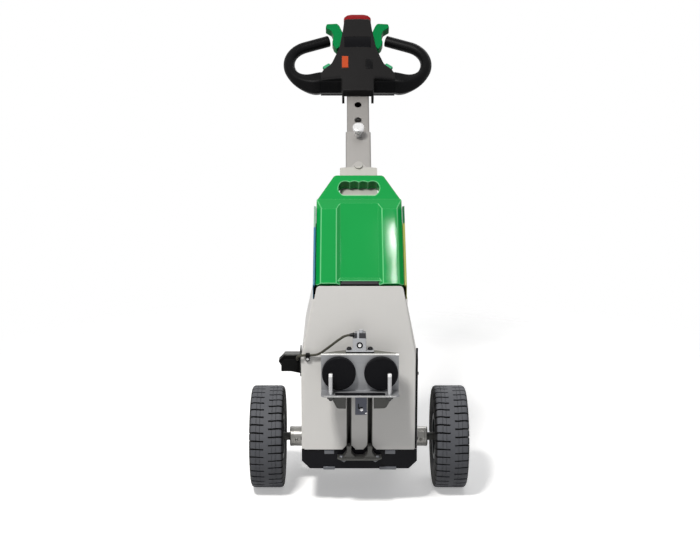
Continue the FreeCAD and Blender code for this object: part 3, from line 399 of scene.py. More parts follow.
# %% Paint, plastic and rubber
def grained(name, colour, roughness, grain=900, depth=0.00006, worn=0.25, gloss=0.15):
    """Painted or moulded surface: fine grain, broad dust and slightly uneven gloss."""
    made = Finish(name, colour, roughness, 0.0, gloss)
    specks = made.noise(grain, 2)
    dust = made.noise(11, 6)
    dusty = [c * 0.8 + 0.02 for c in colour]
    made.set(Base_Color=made.mix(dust.step(0.45, 0.8) * worn, colour, dusty),
             Roughness=roughness + (dust - 0.5) * 0.22)
    made.relief(specks, depth)
    return made.material


black_paint = grained("black_paint", (0.004, 0.004, 0.006), 0.34, gloss=0.1)
cast_iron = grained("cast_iron", (0.05, 0.05, 0.055), 0.6, 300, 0.0004)
rim_paint = grained("rim_paint", (0.10, 0.105, 0.11), 0.42, 500, 0.0001)
black_screw = grained("black_screw", (0.006, 0.006, 0.007), 0.34)
plain_black = grained("plain_black", (0.007, 0.007, 0.008), 0.40)
grip_black = grained("grip_black", (0.002, 0.002, 0.0023), 0.42, 1500, 0.00018, 0.1, 0.07)
label_black = grained("label_black", (0.004, 0.004, 0.005), 0.2, 1600, 0.00001, 0.05, 0.05)
socket_black = grained("socket_black", (0.0025, 0.0025, 0.0025), 0.5, worn=0.05, gloss=0.05)
socket_lens = grained("socket_lens", (0.005, 0.005, 0.005), 0.4, gloss=0.05)
lever_green = grained("lever_green", (0.002, 0.17, 0.045), 0.36, 1400, 0.00004, 0.05, 0.05)
button_mint = grained("button_mint", (0.05, 0.30, 0.145), 0.4, 1400, 0.00004, 0.05, 0.1)
cap_red = grained("cap_red", (0.20, 0.006, 0.008), 0.36, 1400, 0.00004, 0.05, 0.1)
rocker_orange = grained("rocker_orange", (0.40, 0.055, 0.015), 0.34, 1400, 0.00003, 0.1)
latch_grey = grained("latch_grey", (0.022, 0.022, 0.024), 0.5)
switch_grey = grained("switch_grey", (0.21, 0.22, 0.27), 0.42, 800, 0.0001, 0.1)
cable_skin = grained("cable_skin", (0.060, 0.058, 0.045), 0.52, 1600, 0.00008)
castor_rubber = grained("castor_rubber", (0.05, 0.05, 0.055), 0.62, 700, 0.0001)
disc_rubber = grained("disc_rubber", (0.002, 0.002, 0.003), 0.6, 700, 0.0001, 0.03, 0.1)
print(len(bpy.data.materials), "finishes so far")

# %% [markdown]
# The tiller stands in a folded bracket. Its skirt is brighter than the tube, and its peak is as dull
# as the tube it is welded to. Two pieces would need a seam that isn't there, so one material reads
# the place on the leaning ruler and changes its shade at the foot of the peak.


# %% The tiller's bracket
def lean_mask(made, start, end):
    """0 below a place up the lean and 1 above it, in millimetres."""
    _, back, up = made.axes()
    along = (back - plate_front) * SLANT + (up - plate_high.z) * SLANT
    return along.step(start * MM, end * MM)


def out_mask(made, start, end):
    """0 behind a place on the leaning ruler's third direction and 1 in front of it."""
    _, back, up = made.axes()
    out = (up - plate_high.z) * SLANT - (back - plate_front) * SLANT
    return out.step(start * MM, end * MM)


def bracket_finish():
    """The folded bracket: brighter sheet below, and a peak as dull as the tube."""
    peak_foot = 386.5
    made = Finish("bracket_steel", (0.42, 0.41, 0.385), 0.42, 0.35)
    streaks = made.noise(1.0, 4, STREAKS["z"], LEAN_TURN)
    sheet = made.mix(streaks, (0.33, 0.325, 0.30), (0.39, 0.38, 0.35))
    peak = lean_mask(made, peak_foot, peak_foot + 1.5)
    made.set(Base_Color=made.mix(peak, sheet, (0.31, 0.30, 0.285)),
             Roughness=0.42 + (streaks - 0.5) * 0.16)
    made.relief(streaks, 0.00004)
    return made.material


bracket_steel = bracket_finish()
print("bracket with", len(bracket_steel.node_tree.nodes), "nodes")

# %% [markdown]
# The coupling takes the knocks of every cart that is hooked on. Its sheet is dull. The bend at its
# top and the tray's front edge carry a painted highlight, whitest at the right-hand end of the bend,
# and the top of its flange is darker and slightly olive. These marks have known places, so each is a
# mask measured from the piece's own box.


# %% The coupling's face
def face_finish():
    """The coupling's folded face: dull sheet with a painted highlight on the bend and tray edge."""
    face_low, face_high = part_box("coupling_face")
    tray_depth = 43.5
    highlight_from = 84
    made = Finish("face_steel", (0.24, 0.245, 0.26), 0.40, 0.45)
    across, back, up = made.axes()
    streaks = made.noise(1.0, 4, STREAKS["x"])
    in_front = 1 - back.step(face_low.y + tray_depth * MM, face_low.y + (tray_depth + 2.5) * MM)
    bend = up.step(face_high.z - 4.6 * MM, face_high.z - 3.2 * MM) * in_front
    edge = 1 - back.step(face_low.y + 0.3 * MM, face_low.y + 1.5 * MM)
    on_top = up.step(face_high.z - 1 * MM, face_high.z - 0.2 * MM)
    sheet = made.mix(streaks, (0.25, 0.255, 0.27), (0.31, 0.315, 0.325))
    flange = made.mix(on_top, sheet, (0.14, 0.14, 0.12))
    # Painted highlight: the bend and the tray's front edge are lightened, whitest at the bend's
    # right-hand end.
    end_highlight = bend * across.step(highlight_from * MM, (highlight_from + 1) * MM)
    bright = made.mix(end_highlight, (0.50, 0.50, 0.49), (0.95, 0.95, 0.93))
    made.set(Base_Color=made.mix(bend * 0.9 + edge * (1 - bend) * 0.55, flange, bright),
             Roughness=0.40 + (streaks - 0.5) * 0.16)
    made.relief(streaks, 0.00004, 0.0015)
    return made.material


face_steel = face_finish()
print("coupling face with", len(face_steel.node_tree.nodes), "nodes")

# %% [markdown]
# The two pins enter the cart's frame. Their tapered tips are lighter and their shafts duller, and the
# threads below the tray are painted dark for the shade under it. All three follow from height alone.


# %% The coupling's pins
def pin_finish():
    """Polished pins, lighter at the tips, with their ends below the tray painted dark as shade."""
    tray_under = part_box("coupling_face")[0].z / MM
    taper_foot = 366
    made = Finish("pin_steel", (0.45, 0.45, 0.46), 0.2, 0.6)
    height = made.axes()[2]
    # Painted shade: below the tray the pins turn dark.
    below = 1 - height.step((tray_under - 1) * MM, (tray_under + 0.5) * MM)
    tips = height.step(taper_foot * MM, (taper_foot + 3) * MM)
    shaft = made.mix(tips, (0.46, 0.46, 0.47), (0.88, 0.88, 0.88))
    made.set(Base_Color=made.mix(below, shaft, (0.05, 0.05, 0.05)),
             Roughness=0.2 + below * 0.3 + made.noise(300, 3) * 0.08)
    return made.material


pin_steel = pin_finish()
print("pins with", len(pin_steel.node_tree.nodes), "nodes")

# %% [markdown]
# The battery's case is a glossy green moulding. A very slight ripple in its gloss and fine scratches
# along its length make it read as moulded plastic. On top of that, its corners carry a painted
# highlight and its hollows painted shade. A Bevel node shows where the surface turns, which finds
# most corners. The crests beside the columns are rounded in the solid already, so a bevel misses
# them, and their painted highlights are lines at known places instead. An Ambient Occlusion node
# finds the hollows, which are painted darker.

# %% The battery's case
RIDGES = (56.4, 94.2)
RIDGE_HALF = 0.7
SHOULDER = 226


def edge_highlight_mask(made, radius, least, most):
    """1 on edges sharper than a radius, where a rounded normal leaves the flat one."""
    flat = made.node("NewGeometry", {}, {}, "True Normal")
    rounded = made.node("Bevel", {"samples": 8}, {"Radius": radius})
    kept = made.node("VectorMath", {"operation": "DOT_PRODUCT"}, {0: flat, 1: rounded}, "Value")
    return (1 - kept).step(least, most)


def crest_highlight_lines(made):
    """1 along the crests of the two raised columns, below the shoulder, where the painted highlight
    lies.
    """
    from_middle = abs(made.axes()[0])
    crests = 0
    for ridge in RIDGES:
        off_crest = abs(from_middle - ridge * MM)
        crests = crests + (1 - off_crest.step(RIDGE_HALF * MM, (RIDGE_HALF + 1) * MM))
    return crests * out_mask(made, -4, -2.5) * (1 - lean_mask(made, SHOULDER, SHOULDER + 3))


def gloss_case():
    """The glossy green case: painted highlights on corners and crests, painted shade in hollows,
    slight ripple and scratches.
    """
    colour = (0.003, 0.27, 0.050)
    made = Finish("case_green", colour, 0.12, gloss=0.16)
    ripple = made.noise(22, 2)
    cloud = made.noise(5, 4)
    scratch = made.noise(1.0, 3, (500, 500, 30), LEAN_TURN)
    edge_highlight = edge_highlight_mask(made, 0.0045, 0.004, 0.05)
    openness = made.node("AmbientOcclusion", {"samples": 8, "only_local": True},
                         {"Distance": 0.035}, "AO")
    # Painted shade: hollows that ambient occlusion finds are darkened.
    hollow = 1 - openness.step(0.45, 0.97)
    skin = made.mix(cloud, *shades(colour, 0.90, 1.06))
    skin = made.mix(hollow * 0.85, skin, (0.001, 0.09, 0.014))
    # Painted highlights: pale lines on the column crests and on the corners.
    skin = made.mix(crest_highlight_lines(made) * 0.5, skin, (0.26, 0.74, 0.38))
    made.set(Base_Color=made.mix(edge_highlight * 0.85, skin, (0.20, 0.68, 0.31)),
             Roughness=0.05 + cloud * 0.03 + scratch.step(0.62, 0.8) * 0.06)
    made.relief(ripple, 0.00008, 0.003)
    return made.material


case_green = gloss_case()
print("case with", len(case_green.node_tree.nodes), "nodes")

# %% [markdown]
# The tiller's head is one grained housing, but the bar across it is painted as dark as the grips that
# grow out of it: painted shade. The darker field is a mask again: outside the block in the middle,
# and below the line where the column begins.

# %% The tiller's head
BLOCK_HALF = 44.5
COLUMN_FOOT = 672


def head_finish():
    """The head's grained housing, whose wings are painted as dark as the grips, as shade."""
    made = Finish("head_black", (0.008, 0.008, 0.008), 0.5, gloss=0.05)
    beside_block = abs(made.axes()[0]).step(BLOCK_HALF * MM, (BLOCK_HALF + 2) * MM)
    # Painted shade: the wings are darkened to the grips' black.
    wings = beside_block * (1 - lean_mask(made, COLUMN_FOOT, COLUMN_FOOT + 18))
    dust = made.noise(11, 6)
    field = made.mix(wings, (0.0125, 0.012, 0.0122), (0.0015, 0.0015, 0.0018))
    made.set(Base_Color=made.mix(dust.step(0.45, 0.8) * 0.2, field, (0.018, 0.018, 0.018)),
             Roughness=0.46 + (dust - 0.5) * 0.22)
    made.relief(made.noise(1300, 2), 0.00012)
    return made.material


head_black = head_finish()
print("head with", len(head_black.node_tree.nodes), "nodes")

# %% [markdown]
# The covers beside the battery carry two colour fields each, which meet on a level line: pale green
# over blue on the left, dark green over yellow on the right. A decal would need its own thin sheet.
# A step on height does the same, and stays sharp from any distance.


# %% The side covers' colours
def two_fields(name, upper, lower, seam_height):
    """A painted cover whose upper part has another colour, above a height in metres."""
    made = Finish(name, lower, 0.38, gloss=0.25)
    height = made.axes()[2]
    dust = made.noise(12, 5)
    seam = height.step(seam_height - 0.6 * MM, seam_height + 0.6 * MM)
    field = made.mix(seam, lower, upper)
    made.set(Base_Color=made.mix(dust.step(0.5, 0.85) * 0.05, field, (0.45, 0.45, 0.45)),
             Roughness=0.38 + (dust - 0.5) * 0.2)
    made.relief(made.noise(1200, 2), 0.00004)
    return made.material


LEFT_SEAM, RIGHT_SEAM = 170, 182
cheek_left = two_fields("cheek_left", (0.22, 0.36, 0.28), (0.035, 0.15, 0.26),
                        on_lean(0, LEFT_SEAM, 0).z)
cheek_right = two_fields("cheek_right", (0.001, 0.08, 0.022), (0.29, 0.29, 0.06),
                         on_lean(0, RIGHT_SEAM, 0).z)
print("covers' seams", LEFT_SEAM, "and", RIGHT_SEAM, "mm up the lean")

# %% [markdown]
# The sensor over the coupling is a limit switch: a pale cast body, a dark plastic head split by a
# pale rib, and a pale plunger on top. It is one solid in the frame, so height picks out the head
# and the place across leaves the rib pale.


# %% The top sensor
def sensor_finish():
    """The limit switch: pale cast body and plunger, and a dark head with a pale rib."""
    head_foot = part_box("top_sensor")[0].z + 34 * MM
    head_top = head_foot + 13 * MM
    soft = 0.2 * MM
    rib_left, rib_half = 4.5 * MM, 2.2 * MM
    pale, dark = (0.42, 0.43, 0.45), (0.03, 0.03, 0.035)
    made = Finish("switch_body", pale, 0.42, 0.35)
    across, _, height = made.axes()
    head = height.step(head_foot - soft, head_foot + soft)
    plunger = height.step(head_top - soft, head_top + soft)
    beside_rib = abs(across + rib_left).step(rib_half, rib_half + 2 * soft)
    made.set(Base_Color=made.mix(head * (1 - plunger) * beside_rib, pale, dark),
             Roughness=0.42 + (made.noise(60, 4) - 0.5) * 0.2)
    made.relief(made.noise(800, 3), 0.0001)
    return made.material


sensor_body = sensor_finish()
print("sensor with", len(sensor_body.node_tree.nodes), "nodes")

# %% [markdown]
# Now the frame's own pieces are dressed. Their shapes are right as they come, so each only swaps its
# plain material for a finish. The cable, the tyres and the side covers aren't in the list, because
# more detailed pieces take their places further down.

# %% Dress the frame
dressed_in = [
    (plate_steel, "front_plate left_side_panel right_side_panel"),
    (black_paint, "base_pan rear_cover battery_tray"),
    # the gusset and the rails' foot carry painted shade
    (dark_steel_and_shade, "left_half_shaft right_half_shaft lift_rails socket_bracket coupling_gusset"),
    (turned_steel, "left_axle_collar right_axle_collar"),
    (zinc, "castor_mounts left_castor_fork right_castor_fork"),
    (rim_paint, "left_rim right_rim"),
    (castor_rubber, "left_castor_wheel right_castor_wheel"),
    (grip_black, "left_grip right_grip"),
    (socket_black, "charging_socket cable_clip"),
    (cast_iron, "drive_unit"),
    (bracket_steel, "tiller_bracket"),
    (tube_steel, "tiller_outer_tube"),
    (mast_steel, "tiller_inner_tube"),
    (bright_steel, "index_plunger"),
    # painted shade on the webs in the slots
    (rail_painted_shade, "coupling_webs"),
    (face_steel, "coupling_face"),
    (disc_rubber, "coupling_pads"),
    (pin_steel, "coupling_pins"),
    (sensor_body, "top_sensor"),
    (switch_grey, "lower_switch"),
    (case_green, "battery_case"),
    (latch_grey, "battery_latch"),
    (head_black, "tiller_head"),
    (lever_green, "thumb_levers"),
    (cap_red, "belly_button"),
    (rocker_orange, "rocker_switch"),
]
count = 0
for finish, names in dressed_in:
    for name in names.split():
        nodes[name].data.materials.clear()
        nodes[name].data.materials.append(finish)
        count += 1
print("finishes on", count, "of", len(nodes), "nodes")

# %% [markdown]
# New pieces are shaped in a bmesh with a handful of operators. Caps, washers, rings and screw heads
# are turned parts on the real machine, and they are made the same way here: half a cross-section
# is spun round an axis. A list of vertices could do it too, but it is hard to read and easy to get
# wrong, while the corners of a profile are the sizes on a drawing.


# %% Turned shapes
def spin(shape, geometry, axis, angle, steps, closed=False, copies=False):
    """Spins geometry round an axis through the origin, as one skin or as separate copies."""
    bmesh.ops.spin(shape, geom=geometry, cent=(0, 0, 0), axis=axis, dvec=(0, 0, 0), angle=angle,
                   steps=steps, use_merge=closed, use_normal_flip=False, use_duplicate=copies)


def turned(profile, steps=24):
    """A profile of (radius, height) corners in millimetres, spun round the Z axis."""
    shape = bmesh.new()
    corners = [shape.verts.new((radius * MM, 0, height * MM)) for radius, height in profile]
    edges = [shape.edges.new(pair) for pair in zip(corners, corners[1:])]
    spin(shape, corners + edges, (0, 0, 1), 2 * math.pi, steps, closed=True)
    return shape


sample = turned([(0, 0), (5, 0), (5, 2), (0, 2)])
print("a turned disc has", len(sample.faces), "faces")
sample.free()

# %% [markdown]
# The rest is sawn and folded stock. A block is a cube with bevelled edges, a plate is an outline
# pushed out to its thickness, and a nut is a cone of six sides. Hardly any real edge is sharp, so
# most of them get a small bevel that catches the light.


# %% Blocks, plates and nuts
def soften(shape, edges, radius, segments=2):
    """Rounds edges to a radius in millimetres."""
    bmesh.ops.bevel(shape, geom=list(edges), offset=radius * MM, offset_type="OFFSET",
                    segments=segments, profile=0.5, affect="EDGES", clamp_overlap=True,
                    material=-1)


def rounded_block(size, radius, segments=2):
    """A block of a size in millimetres with its edges rounded."""
    shape = bmesh.new()
    bmesh.ops.create_cube(shape, size=1)
    bmesh.ops.scale(shape, vec=Vector(size) * MM, verts=shape.verts)
    soften(shape, shape.edges, radius, segments)
    return shape


def plate(corners, thickness, radius=0.0):
    """An outline in millimetres pushed out along Z, with softened edges if a radius is given."""
    shape = bmesh.new()
    face = shape.faces.new([shape.verts.new((x * MM, y * MM, 0)) for x, y in corners])
    pushed = bmesh.ops.extrude_face_region(shape, geom=[face], use_keep_orig=True)
    raised = [v for v in pushed["geom"] if isinstance(v, bmesh.types.BMVert)]
    bmesh.ops.translate(shape, vec=(0, 0, thickness * MM), verts=raised)
    if radius:
        soften(shape, shape.edges, radius)
    return shape


def hexagon(width, height):
    """A hexagon nut or head, width across its flats, with chamfered ends."""
    shape = bmesh.new()
    radius = width / math.sqrt(3) * MM
    bmesh.ops.create_cone(shape, cap_ends=True, cap_tris=False, segments=6, radius1=radius,
                          radius2=radius, depth=height * MM)
    soften(shape, shape.edges, 0.06 * width)
    bmesh.ops.translate(shape, vec=(0, 0, height / 2 * MM), verts=shape.verts)
    return shape


sample = hexagon(10, 8)
print("a nut has", len(sample.faces), "faces")
sample.free()

# %% [markdown]
# A shape is made at the origin and then carried to its place, because it is easier to draw a nut
# flat on the bench than in the air. One piece often holds several such shapes, for instance a row
# of screws. Spinning can turn a shape inside out, so each has its doubles merged and its normals
# recalculated before it joins the others. Every finished piece rides on a body of the frame.


# %% Joining shapes into a piece
def facing(at, out, turn=0.0):
    """The placement that stands a shape's Z axis along a direction, at a point."""
    upright = Vector(out).to_track_quat("Z", "Y").to_matrix().to_4x4()
    return Matrix.Translation(at) @ upright @ Matrix.Rotation(turn, 4, "Z")


def joined(parts):
    """One bmesh from (shape, placement) pairs, each closed and facing outwards."""
    whole = bmesh.new()
    for shape, place in parts:
        bmesh.ops.remove_doubles(shape, verts=shape.verts, dist=1e-6)
        bmesh.ops.recalc_face_normals(shape, faces=shape.faces)
        bmesh.ops.transform(shape, matrix=place, verts=shape.verts)
        carrier = bpy.data.meshes.new("carrier")
        shape.to_mesh(carrier)
        shape.free()
        whole.from_mesh(carrier)
        bpy.data.meshes.remove(carrier)
    return whole


def make_piece(name, parts, body, finish, smooth_below=40):
    """Makes a piece of shapes, smooth except over sharp edges, that rides on a body if given."""
    whole = joined(parts)
    for face in whole.faces:
        face.smooth = True
    for edge in whole.edges:
        if len(edge.link_faces) == 2:
            edge.smooth = edge.calc_face_angle(0) < math.radians(smooth_below)
    mesh = bpy.data.meshes.new(name)
    whole.to_mesh(mesh)
    whole.free()
    mesh.materials.append(finish)
    made = bpy.data.objects.new(name, mesh)
    bpy.context.scene.collection.objects.link(made)
    if body:
        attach(made, body)
    print(name, "on", body or "two bodies", "with", len(mesh.polygons), "faces")
    return made


# %% [markdown]
# Screws tell a viewer how big a machine is. Each is a few closed shapes: a washer under a hexagon,
# a nut round a thread end, a dome, or a button head turned with the socket in its crown. Threads
# are hidden once a screw is in, so only what stands out of the sheet is made.


# %% Screws and nuts
def scaled(corners, size):
    """A profile drawn for a thread of 1 mm, enlarged to a thread's size."""
    return [(radius * size, height * size) for radius, height in corners]


WASHER = [(0, 0), (1.15, 0), (1.2, 0.12), (1.1, 0.24), (0, 0.24)]
THREAD_END = [(0, 0), (0.48, 0), (0.48, 1.05), (0.34, 1.2), (0, 1.2)]
DOME = [(0, 0), (1, 0), (1, 0.12), (0.92, 0.5), (0.7, 0.82), (0.4, 0.98), (0, 1.02)]
BUTTON = [(0, 0), (0.95, 0), (0.93, 0.2), (0.72, 0.46), (0.38, 0.56), (0.36, 0.3), (0, 0.3)]


def screw(at, out, kind, size, turn=0.0):
    """The (shape, placement) pairs of a screw of a thread size, facing a direction."""
    place = facing(at, out, turn)
    if kind == "hex":
        on_washer = place @ shift(0, 0, 0.22 * size * MM)
        return [(turned(scaled(WASHER, size)), place),
                (hexagon(1.7 * size, 0.7 * size), on_washer)]
    if kind == "nut":
        return [(hexagon(1.7 * size, 0.8 * size), place),
                (turned(scaled(THREAD_END, size), 16), place)]
    if kind == "dome":
        return [(turned(scaled(DOME, size)), place)]
    return [(turned(scaled(BUTTON, size), 20), place)]


def screws(name, places, body, finish):
    """One piece made of several screws: (point, direction, kind, size) each."""
    parts = []
    for place in places:
        parts += screw(*place)
    return make_piece(name, parts, body, finish)


print("a 6 mm button head is", round(2 * 6 * BUTTON[1][0], 1), "mm wide")

# %% [markdown]
# The tyres are block tyres for yards and ramps. A smooth rib runs round the middle, and from each
# shoulder cross grooves reach in almost to the rib, on one side half a step behind the other. Cutting
# grooves out of a ring would be slow. So one lug is a cross-section spun through a few degrees,
# waved slightly and then copied round the tyre, so that all lugs are alike as in a mould.

# %% The tyre's lugs
LUGS = 40
GROOVE = 4.2
WAVE, WAVE_LENGTH = 0.006, 42
tyre_low, tyre_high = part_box("left_tyre")
tyre_radius = (tyre_high.z - tyre_low.z) / 2 / MM
lug_step = 2 * math.pi / LUGS
lug_section = [
    (5.4, 123), (5.4, 130), (14.2, 130), (14.6, 128.6), (15.2, 128.6), (15.6, 130), (23.6, 130),
    (24.0, 128.4), (24.6, 128.4), (25.0, 130), (32.0, 129.9), (36.0, 129.0), (39.2, 126.8),
    (41.2, 122.5), (42.1, 115.5), (42.4, 107), (40.4, 105), (36, 116), (28, 121.5),
]


def geometry_of(shape):
    """All corners, edges and faces of a shape."""
    return list(shape.verts) + list(shape.edges) + list(shape.faces)


def lug_ring(side, start):
    """All lugs of one half of the tread, round the X axis, from a starting angle."""
    shape = bmesh.new()
    corners = [shape.verts.new((side * x * MM, 0, r * MM)) for x, r in lug_section]
    section = shape.faces.new(corners)
    spin(shape, [section], (1, 0, 0), lug_step - GROOVE / tyre_radius, 3)
    bmesh.ops.recalc_face_normals(shape, faces=shape.faces)
    at_tread = (tyre_radius - 0.5) * MM
    ends = [e for e in shape.edges if e.calc_face_angle(0) > math.radians(60)
            and max(v.co.yz.length for v in e.verts) > at_tread]
    soften(shape, ends, 0.5, 1)
    for corner in shape.verts:
        wave = WAVE * math.sin(abs(corner.co.x) / MM / WAVE_LENGTH * 2 * math.pi + start)
        bmesh.ops.rotate(shape, cent=(0, 0, 0), matrix=Matrix.Rotation(start + wave, 3, "X"),
                         verts=[corner])
    spin(shape, geometry_of(shape), (1, 0, 0), lug_step * (LUGS - 1), LUGS - 1, copies=True)
    return shape


print(LUGS, "lugs a side,", round(lug_step * tyre_radius, 1), "mm from one to the next")

# %% [markdown]
# Rubber shows where it has been. The lugs are scuffed grey by the ground and the grooves stay black.
# The sidewall is dark rubber, painted darker still for the shade on it. The distance from the axle
# tells lug from groove, and the distance from the tyre's middle finds the sidewall.


# %% The tyre's rubber
def tyre_finish(name, middle):
    """Tyre rubber: greyer on the worn lugs, dark in the grooves, and painted darker on the sidewall
    as shade.
    """
    worn, deep = (0.085, 0.088, 0.098), (0.004, 0.004, 0.005)
    groove_floor, lug_face = 0.1255, 0.1292
    made = Finish(name, worn, 0.72, gloss=0.25)
    across, back, up = made.axes(-middle)
    lugs = (back * back + up * up).root().step(groove_floor, lug_face)
    patches = made.noise(14, 6)
    grit = made.noise(420, 4)
    # Partly painted shade: the sidewall is darker than its rubber alone.
    sidewall = abs(across).step(0.036, 0.041) * (1 - lugs)
    colour = made.mix(lugs, deep, made.mix(patches, *shades(worn, 0.82, 1.15)))
    colour = made.mix(sidewall, colour, (0.007, 0.007, 0.0075))
    made.set(Base_Color=colour, Roughness=0.62 + (patches - 0.5) * 0.2 + grit * 0.1)
    made.relief(grit, 0.0003, 0.0005)
    return made.material


tyre_rubber = {name: tyre_finish(name + "_tyre_rubber", middle_of(name + "_tyre"))
               for name, _ in SIDES}
print("rubber for", list(tyre_rubber))

# %% [markdown]
# Under the lugs a tyre is a plain ring, so its carcass is a profile spun round the axle: bead,
# bulging sidewall, shoulder, and the smooth rib in the middle of the tread. Ring and lugs make one
# piece that turns with its wheel and stands for the plain tyre of the frame.

# %% Block tyres
carcass = [
    (50, -34.5), (60, -34.5), (63, -37.2), (66, -37.4), (68, -38.6), (84, -41.7), (98, -42.2),
    (108, -40.6), (118, -36.5), (123.5, -31), (124.6, -20), (124.8, -5.8), (130, -5.6), (130, 5.6),
    (124.8, 5.8), (124.6, 20), (123.5, 31), (118, 36.5), (108, 40.6), (98, 42.2), (84, 41.7),
    (68, 38.6), (66, 37.4), (63, 37.2), (60, 34.5), (50, 34.5), (50, -34.5),
]
ON_AXLE = Matrix.Rotation(math.radians(90), 4, "Y")
for name, _ in SIDES:
    hub = Matrix.Translation(middle_of(name + "_tyre"))
    parts = [(turned(carcass, 96), hub @ ON_AXLE), (lug_ring(1, 0.0), hub),
             (lug_ring(-1, lug_step / 2), hub)]
    tyre = make_piece(name + "_block_tyre", parts, name + "_wheel", tyre_rubber[name], 30)
    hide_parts(name + "_tyre")

# %% [markdown]
# The wheels are pressed discs on a bolted hub. Five studs hold each disc, so both faces show five
# nuts. The axle ends in a domed cap, and a valve sits in the disc's web. All are small turned parts
# and hexagons, joined into one piece for each wheel, because they never move against each other.


# %% Wheel nuts, caps and valves
STUDS = 5
STUD_CIRCLE = 34
DISC_HALF = 4.2
AXLE_CAP = [(0, 0), (10.5, 0), (10.5, 1.2), (7.5, 4.6), (0, 5.6)]
VALVE = [(0, 0), (4, 0), (4, 1), (2.6, 2), (2.6, 14), (3.2, 14), (3.2, 19), (0, 19)]
shaft_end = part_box("right_half_shaft")[1].x


def wheel_nuts(name, side):
    """The nuts on both faces of a wheel, its valve and its axle's cap, as one piece."""
    middle = middle_of(name + "_tyre")
    outwards = RIGHT * side
    parts = []
    for k in range(STUDS):
        angle = math.radians(90 + 360 / STUDS * k)
        stud = middle + Vector((0, math.cos(angle), math.sin(angle))) * STUD_CIRCLE * MM
        for face in (1, -1):
            parts += screw(stud + RIGHT * face * DISC_HALF * MM, RIGHT * face, "nut", 8, angle)
    end = Vector((side * shaft_end, axle.y, axle.z))
    valve_foot = middle + Vector((side * 4, 20, -36)) * MM
    parts += [(turned(AXLE_CAP, 32), facing(end, outwards)),
              (turned(VALVE, 16), facing(valve_foot, outwards))]
    make_piece(name + "_wheel_nuts", parts, name + "_wheel", zinc)


print("a wheel gets", STUDS * 2, "nuts")

# %% [markdown]
# Each axle runs out of the body through a turned collar. A grub screw in front keeps the collar
# from creeping, and a shallow raised ring shows where the turning tool stopped.

# %% Wheels and axle collars
COLLAR_RING = [(25.05, -3), (25.05, 3), (25.5, 2.6), (25.5, -2.6), (25.05, -3)]
collar_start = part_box("right_axle_collar")[0].x
for name, side in SIDES:
    wheel_nuts(name, side)
    at = Vector((side * (collar_start + 17 * MM), axle.y, axle.z))
    parts = screw(at + FRONT * 24.6 * MM, FRONT, "button", 4.2)
    parts.append((turned(COLLAR_RING, 48), facing(at + RIGHT * side * 12 * MM, RIGHT)))
    make_piece(name + "_collar_trim", parts, "chassis", turned_steel)

# %% [markdown]
# The lift rails end in a foot plate that is bolted to the pan. Two nuts hang under it and two
# button heads lie on it, where a fitter could reach them with a spanner.

# %% Foot plate
FOOT_SHEET = 4
foot_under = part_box("lift_rails")[0].z
foot_row = plate_front - 13 * MM
places = [(Vector((x * MM, foot_row, foot_under)), -UP, "nut", 7) for x in (-38, 39)]
places += [(Vector((x * MM, foot_row, foot_under + FOOT_SHEET * MM)), UP, "button", 6)
           for x in (-44, 44)]
screws("foot_plate_nuts", places, "chassis", clip_steel)

# %% [markdown]
# Four spring clips hold the pan: two small ones on its front, and two larger ones that reach round
# its lower edge. A folded clip is so thin that a block with rounded edges gives its whole shape.

# %% Pan clips
pan_low, pan_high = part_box("base_pan")
small = ((-86, -62), (63, 88)), pan_high.z - 8 * MM, 0, (10, 2.4), 0.7
large = ((-89, -60), (49, 91)), pan_low.z + 1.5 * MM, 8, (8, 22), 1.5
parts = []
for spans, height, inset, size, radius in (small, large):
    for low, high in spans:
        at = Vector(((low + high) / 2 * MM, pan_low.y + inset * MM, height))
        parts.append((rounded_block((high - low, *size), radius), facing(at, FRONT)))
make_piece("pan_clips", parts, "chassis", clip_steel)

# %% [markdown]
# Thin sheet covers are screwed on along their edges. The rear cover has three rows of button heads
# and each side panel has four, set in from its corners by the width of the fold behind. A dark strip
# on the edge of the right panel is painted shade: it stands for the shadow there, which shows as a
# dark line beside the front plate.

# %% Cover screws and edge strip
FOLD = 20
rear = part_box("rear_cover")[1].y
panel_low, panel_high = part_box("right_side_panel")
places = [(Vector((x * MM, rear, z * MM)), BACK, "button", 5.5)
          for x in (-120, 0, 120) for z in (182, 290, 384)]
places += [(Vector((side * panel_high.x, y, z * MM)), RIGHT * side, "button", 5)
           for _, side in SIDES for y in (plate_front + FOLD * MM, rear - FOLD * MM)
           for z in (172, 340)]
screws("cover_screws", places, "chassis", black_screw)
# Painted shade: a dark strip on the right panel's front edge.
strip = (rounded_block((4.6, 2.6, 256), 0.9),
         shift(panel_high.x - 3.0 * MM, panel_low.y - 1.4 * MM, 281 * MM))
make_piece("edge_shade_strip", [strip], "chassis", disc_rubber)

# %% [markdown]
# The coupling is what a cart sees: a folded steel face with two rubber discs, a tray with two pins,
# and switches that tell the controller when a cart is hooked. Its small hardware rides on the lifting
# carriage, not on the chassis, so that it rises and falls with the face. The top sensor stands on a
# thin dark strip, which is painted shade: it draws the shadow line under the sensor's foot. The
# sensor is held by two domed screws, with a ring and a bolt in its front.

# %% The top sensor's hardware
SENSOR_RING = [(0, 0), (7.6, 0), (7.6, 1.0), (6.6, 1.6), (5.2, 1.6), (5.2, 1.0), (0, 1.0)]
FOOT_PLATE, FOOT_SHADE_STRIP = 3, 2.5
sensor_low, sensor_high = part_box("top_sensor")
sensor_y = middle_of("top_sensor").y
screw_seat = sensor_low.z + (FOOT_PLATE - 0.2) * MM
places = [(Vector((x * MM, sensor_high.y - 9 * MM, screw_seat)), UP, "dome", 6.6)
          for x in (-25.6, 25)]
screws("sensor_screws", places, "coupling_carriage", black_screw)
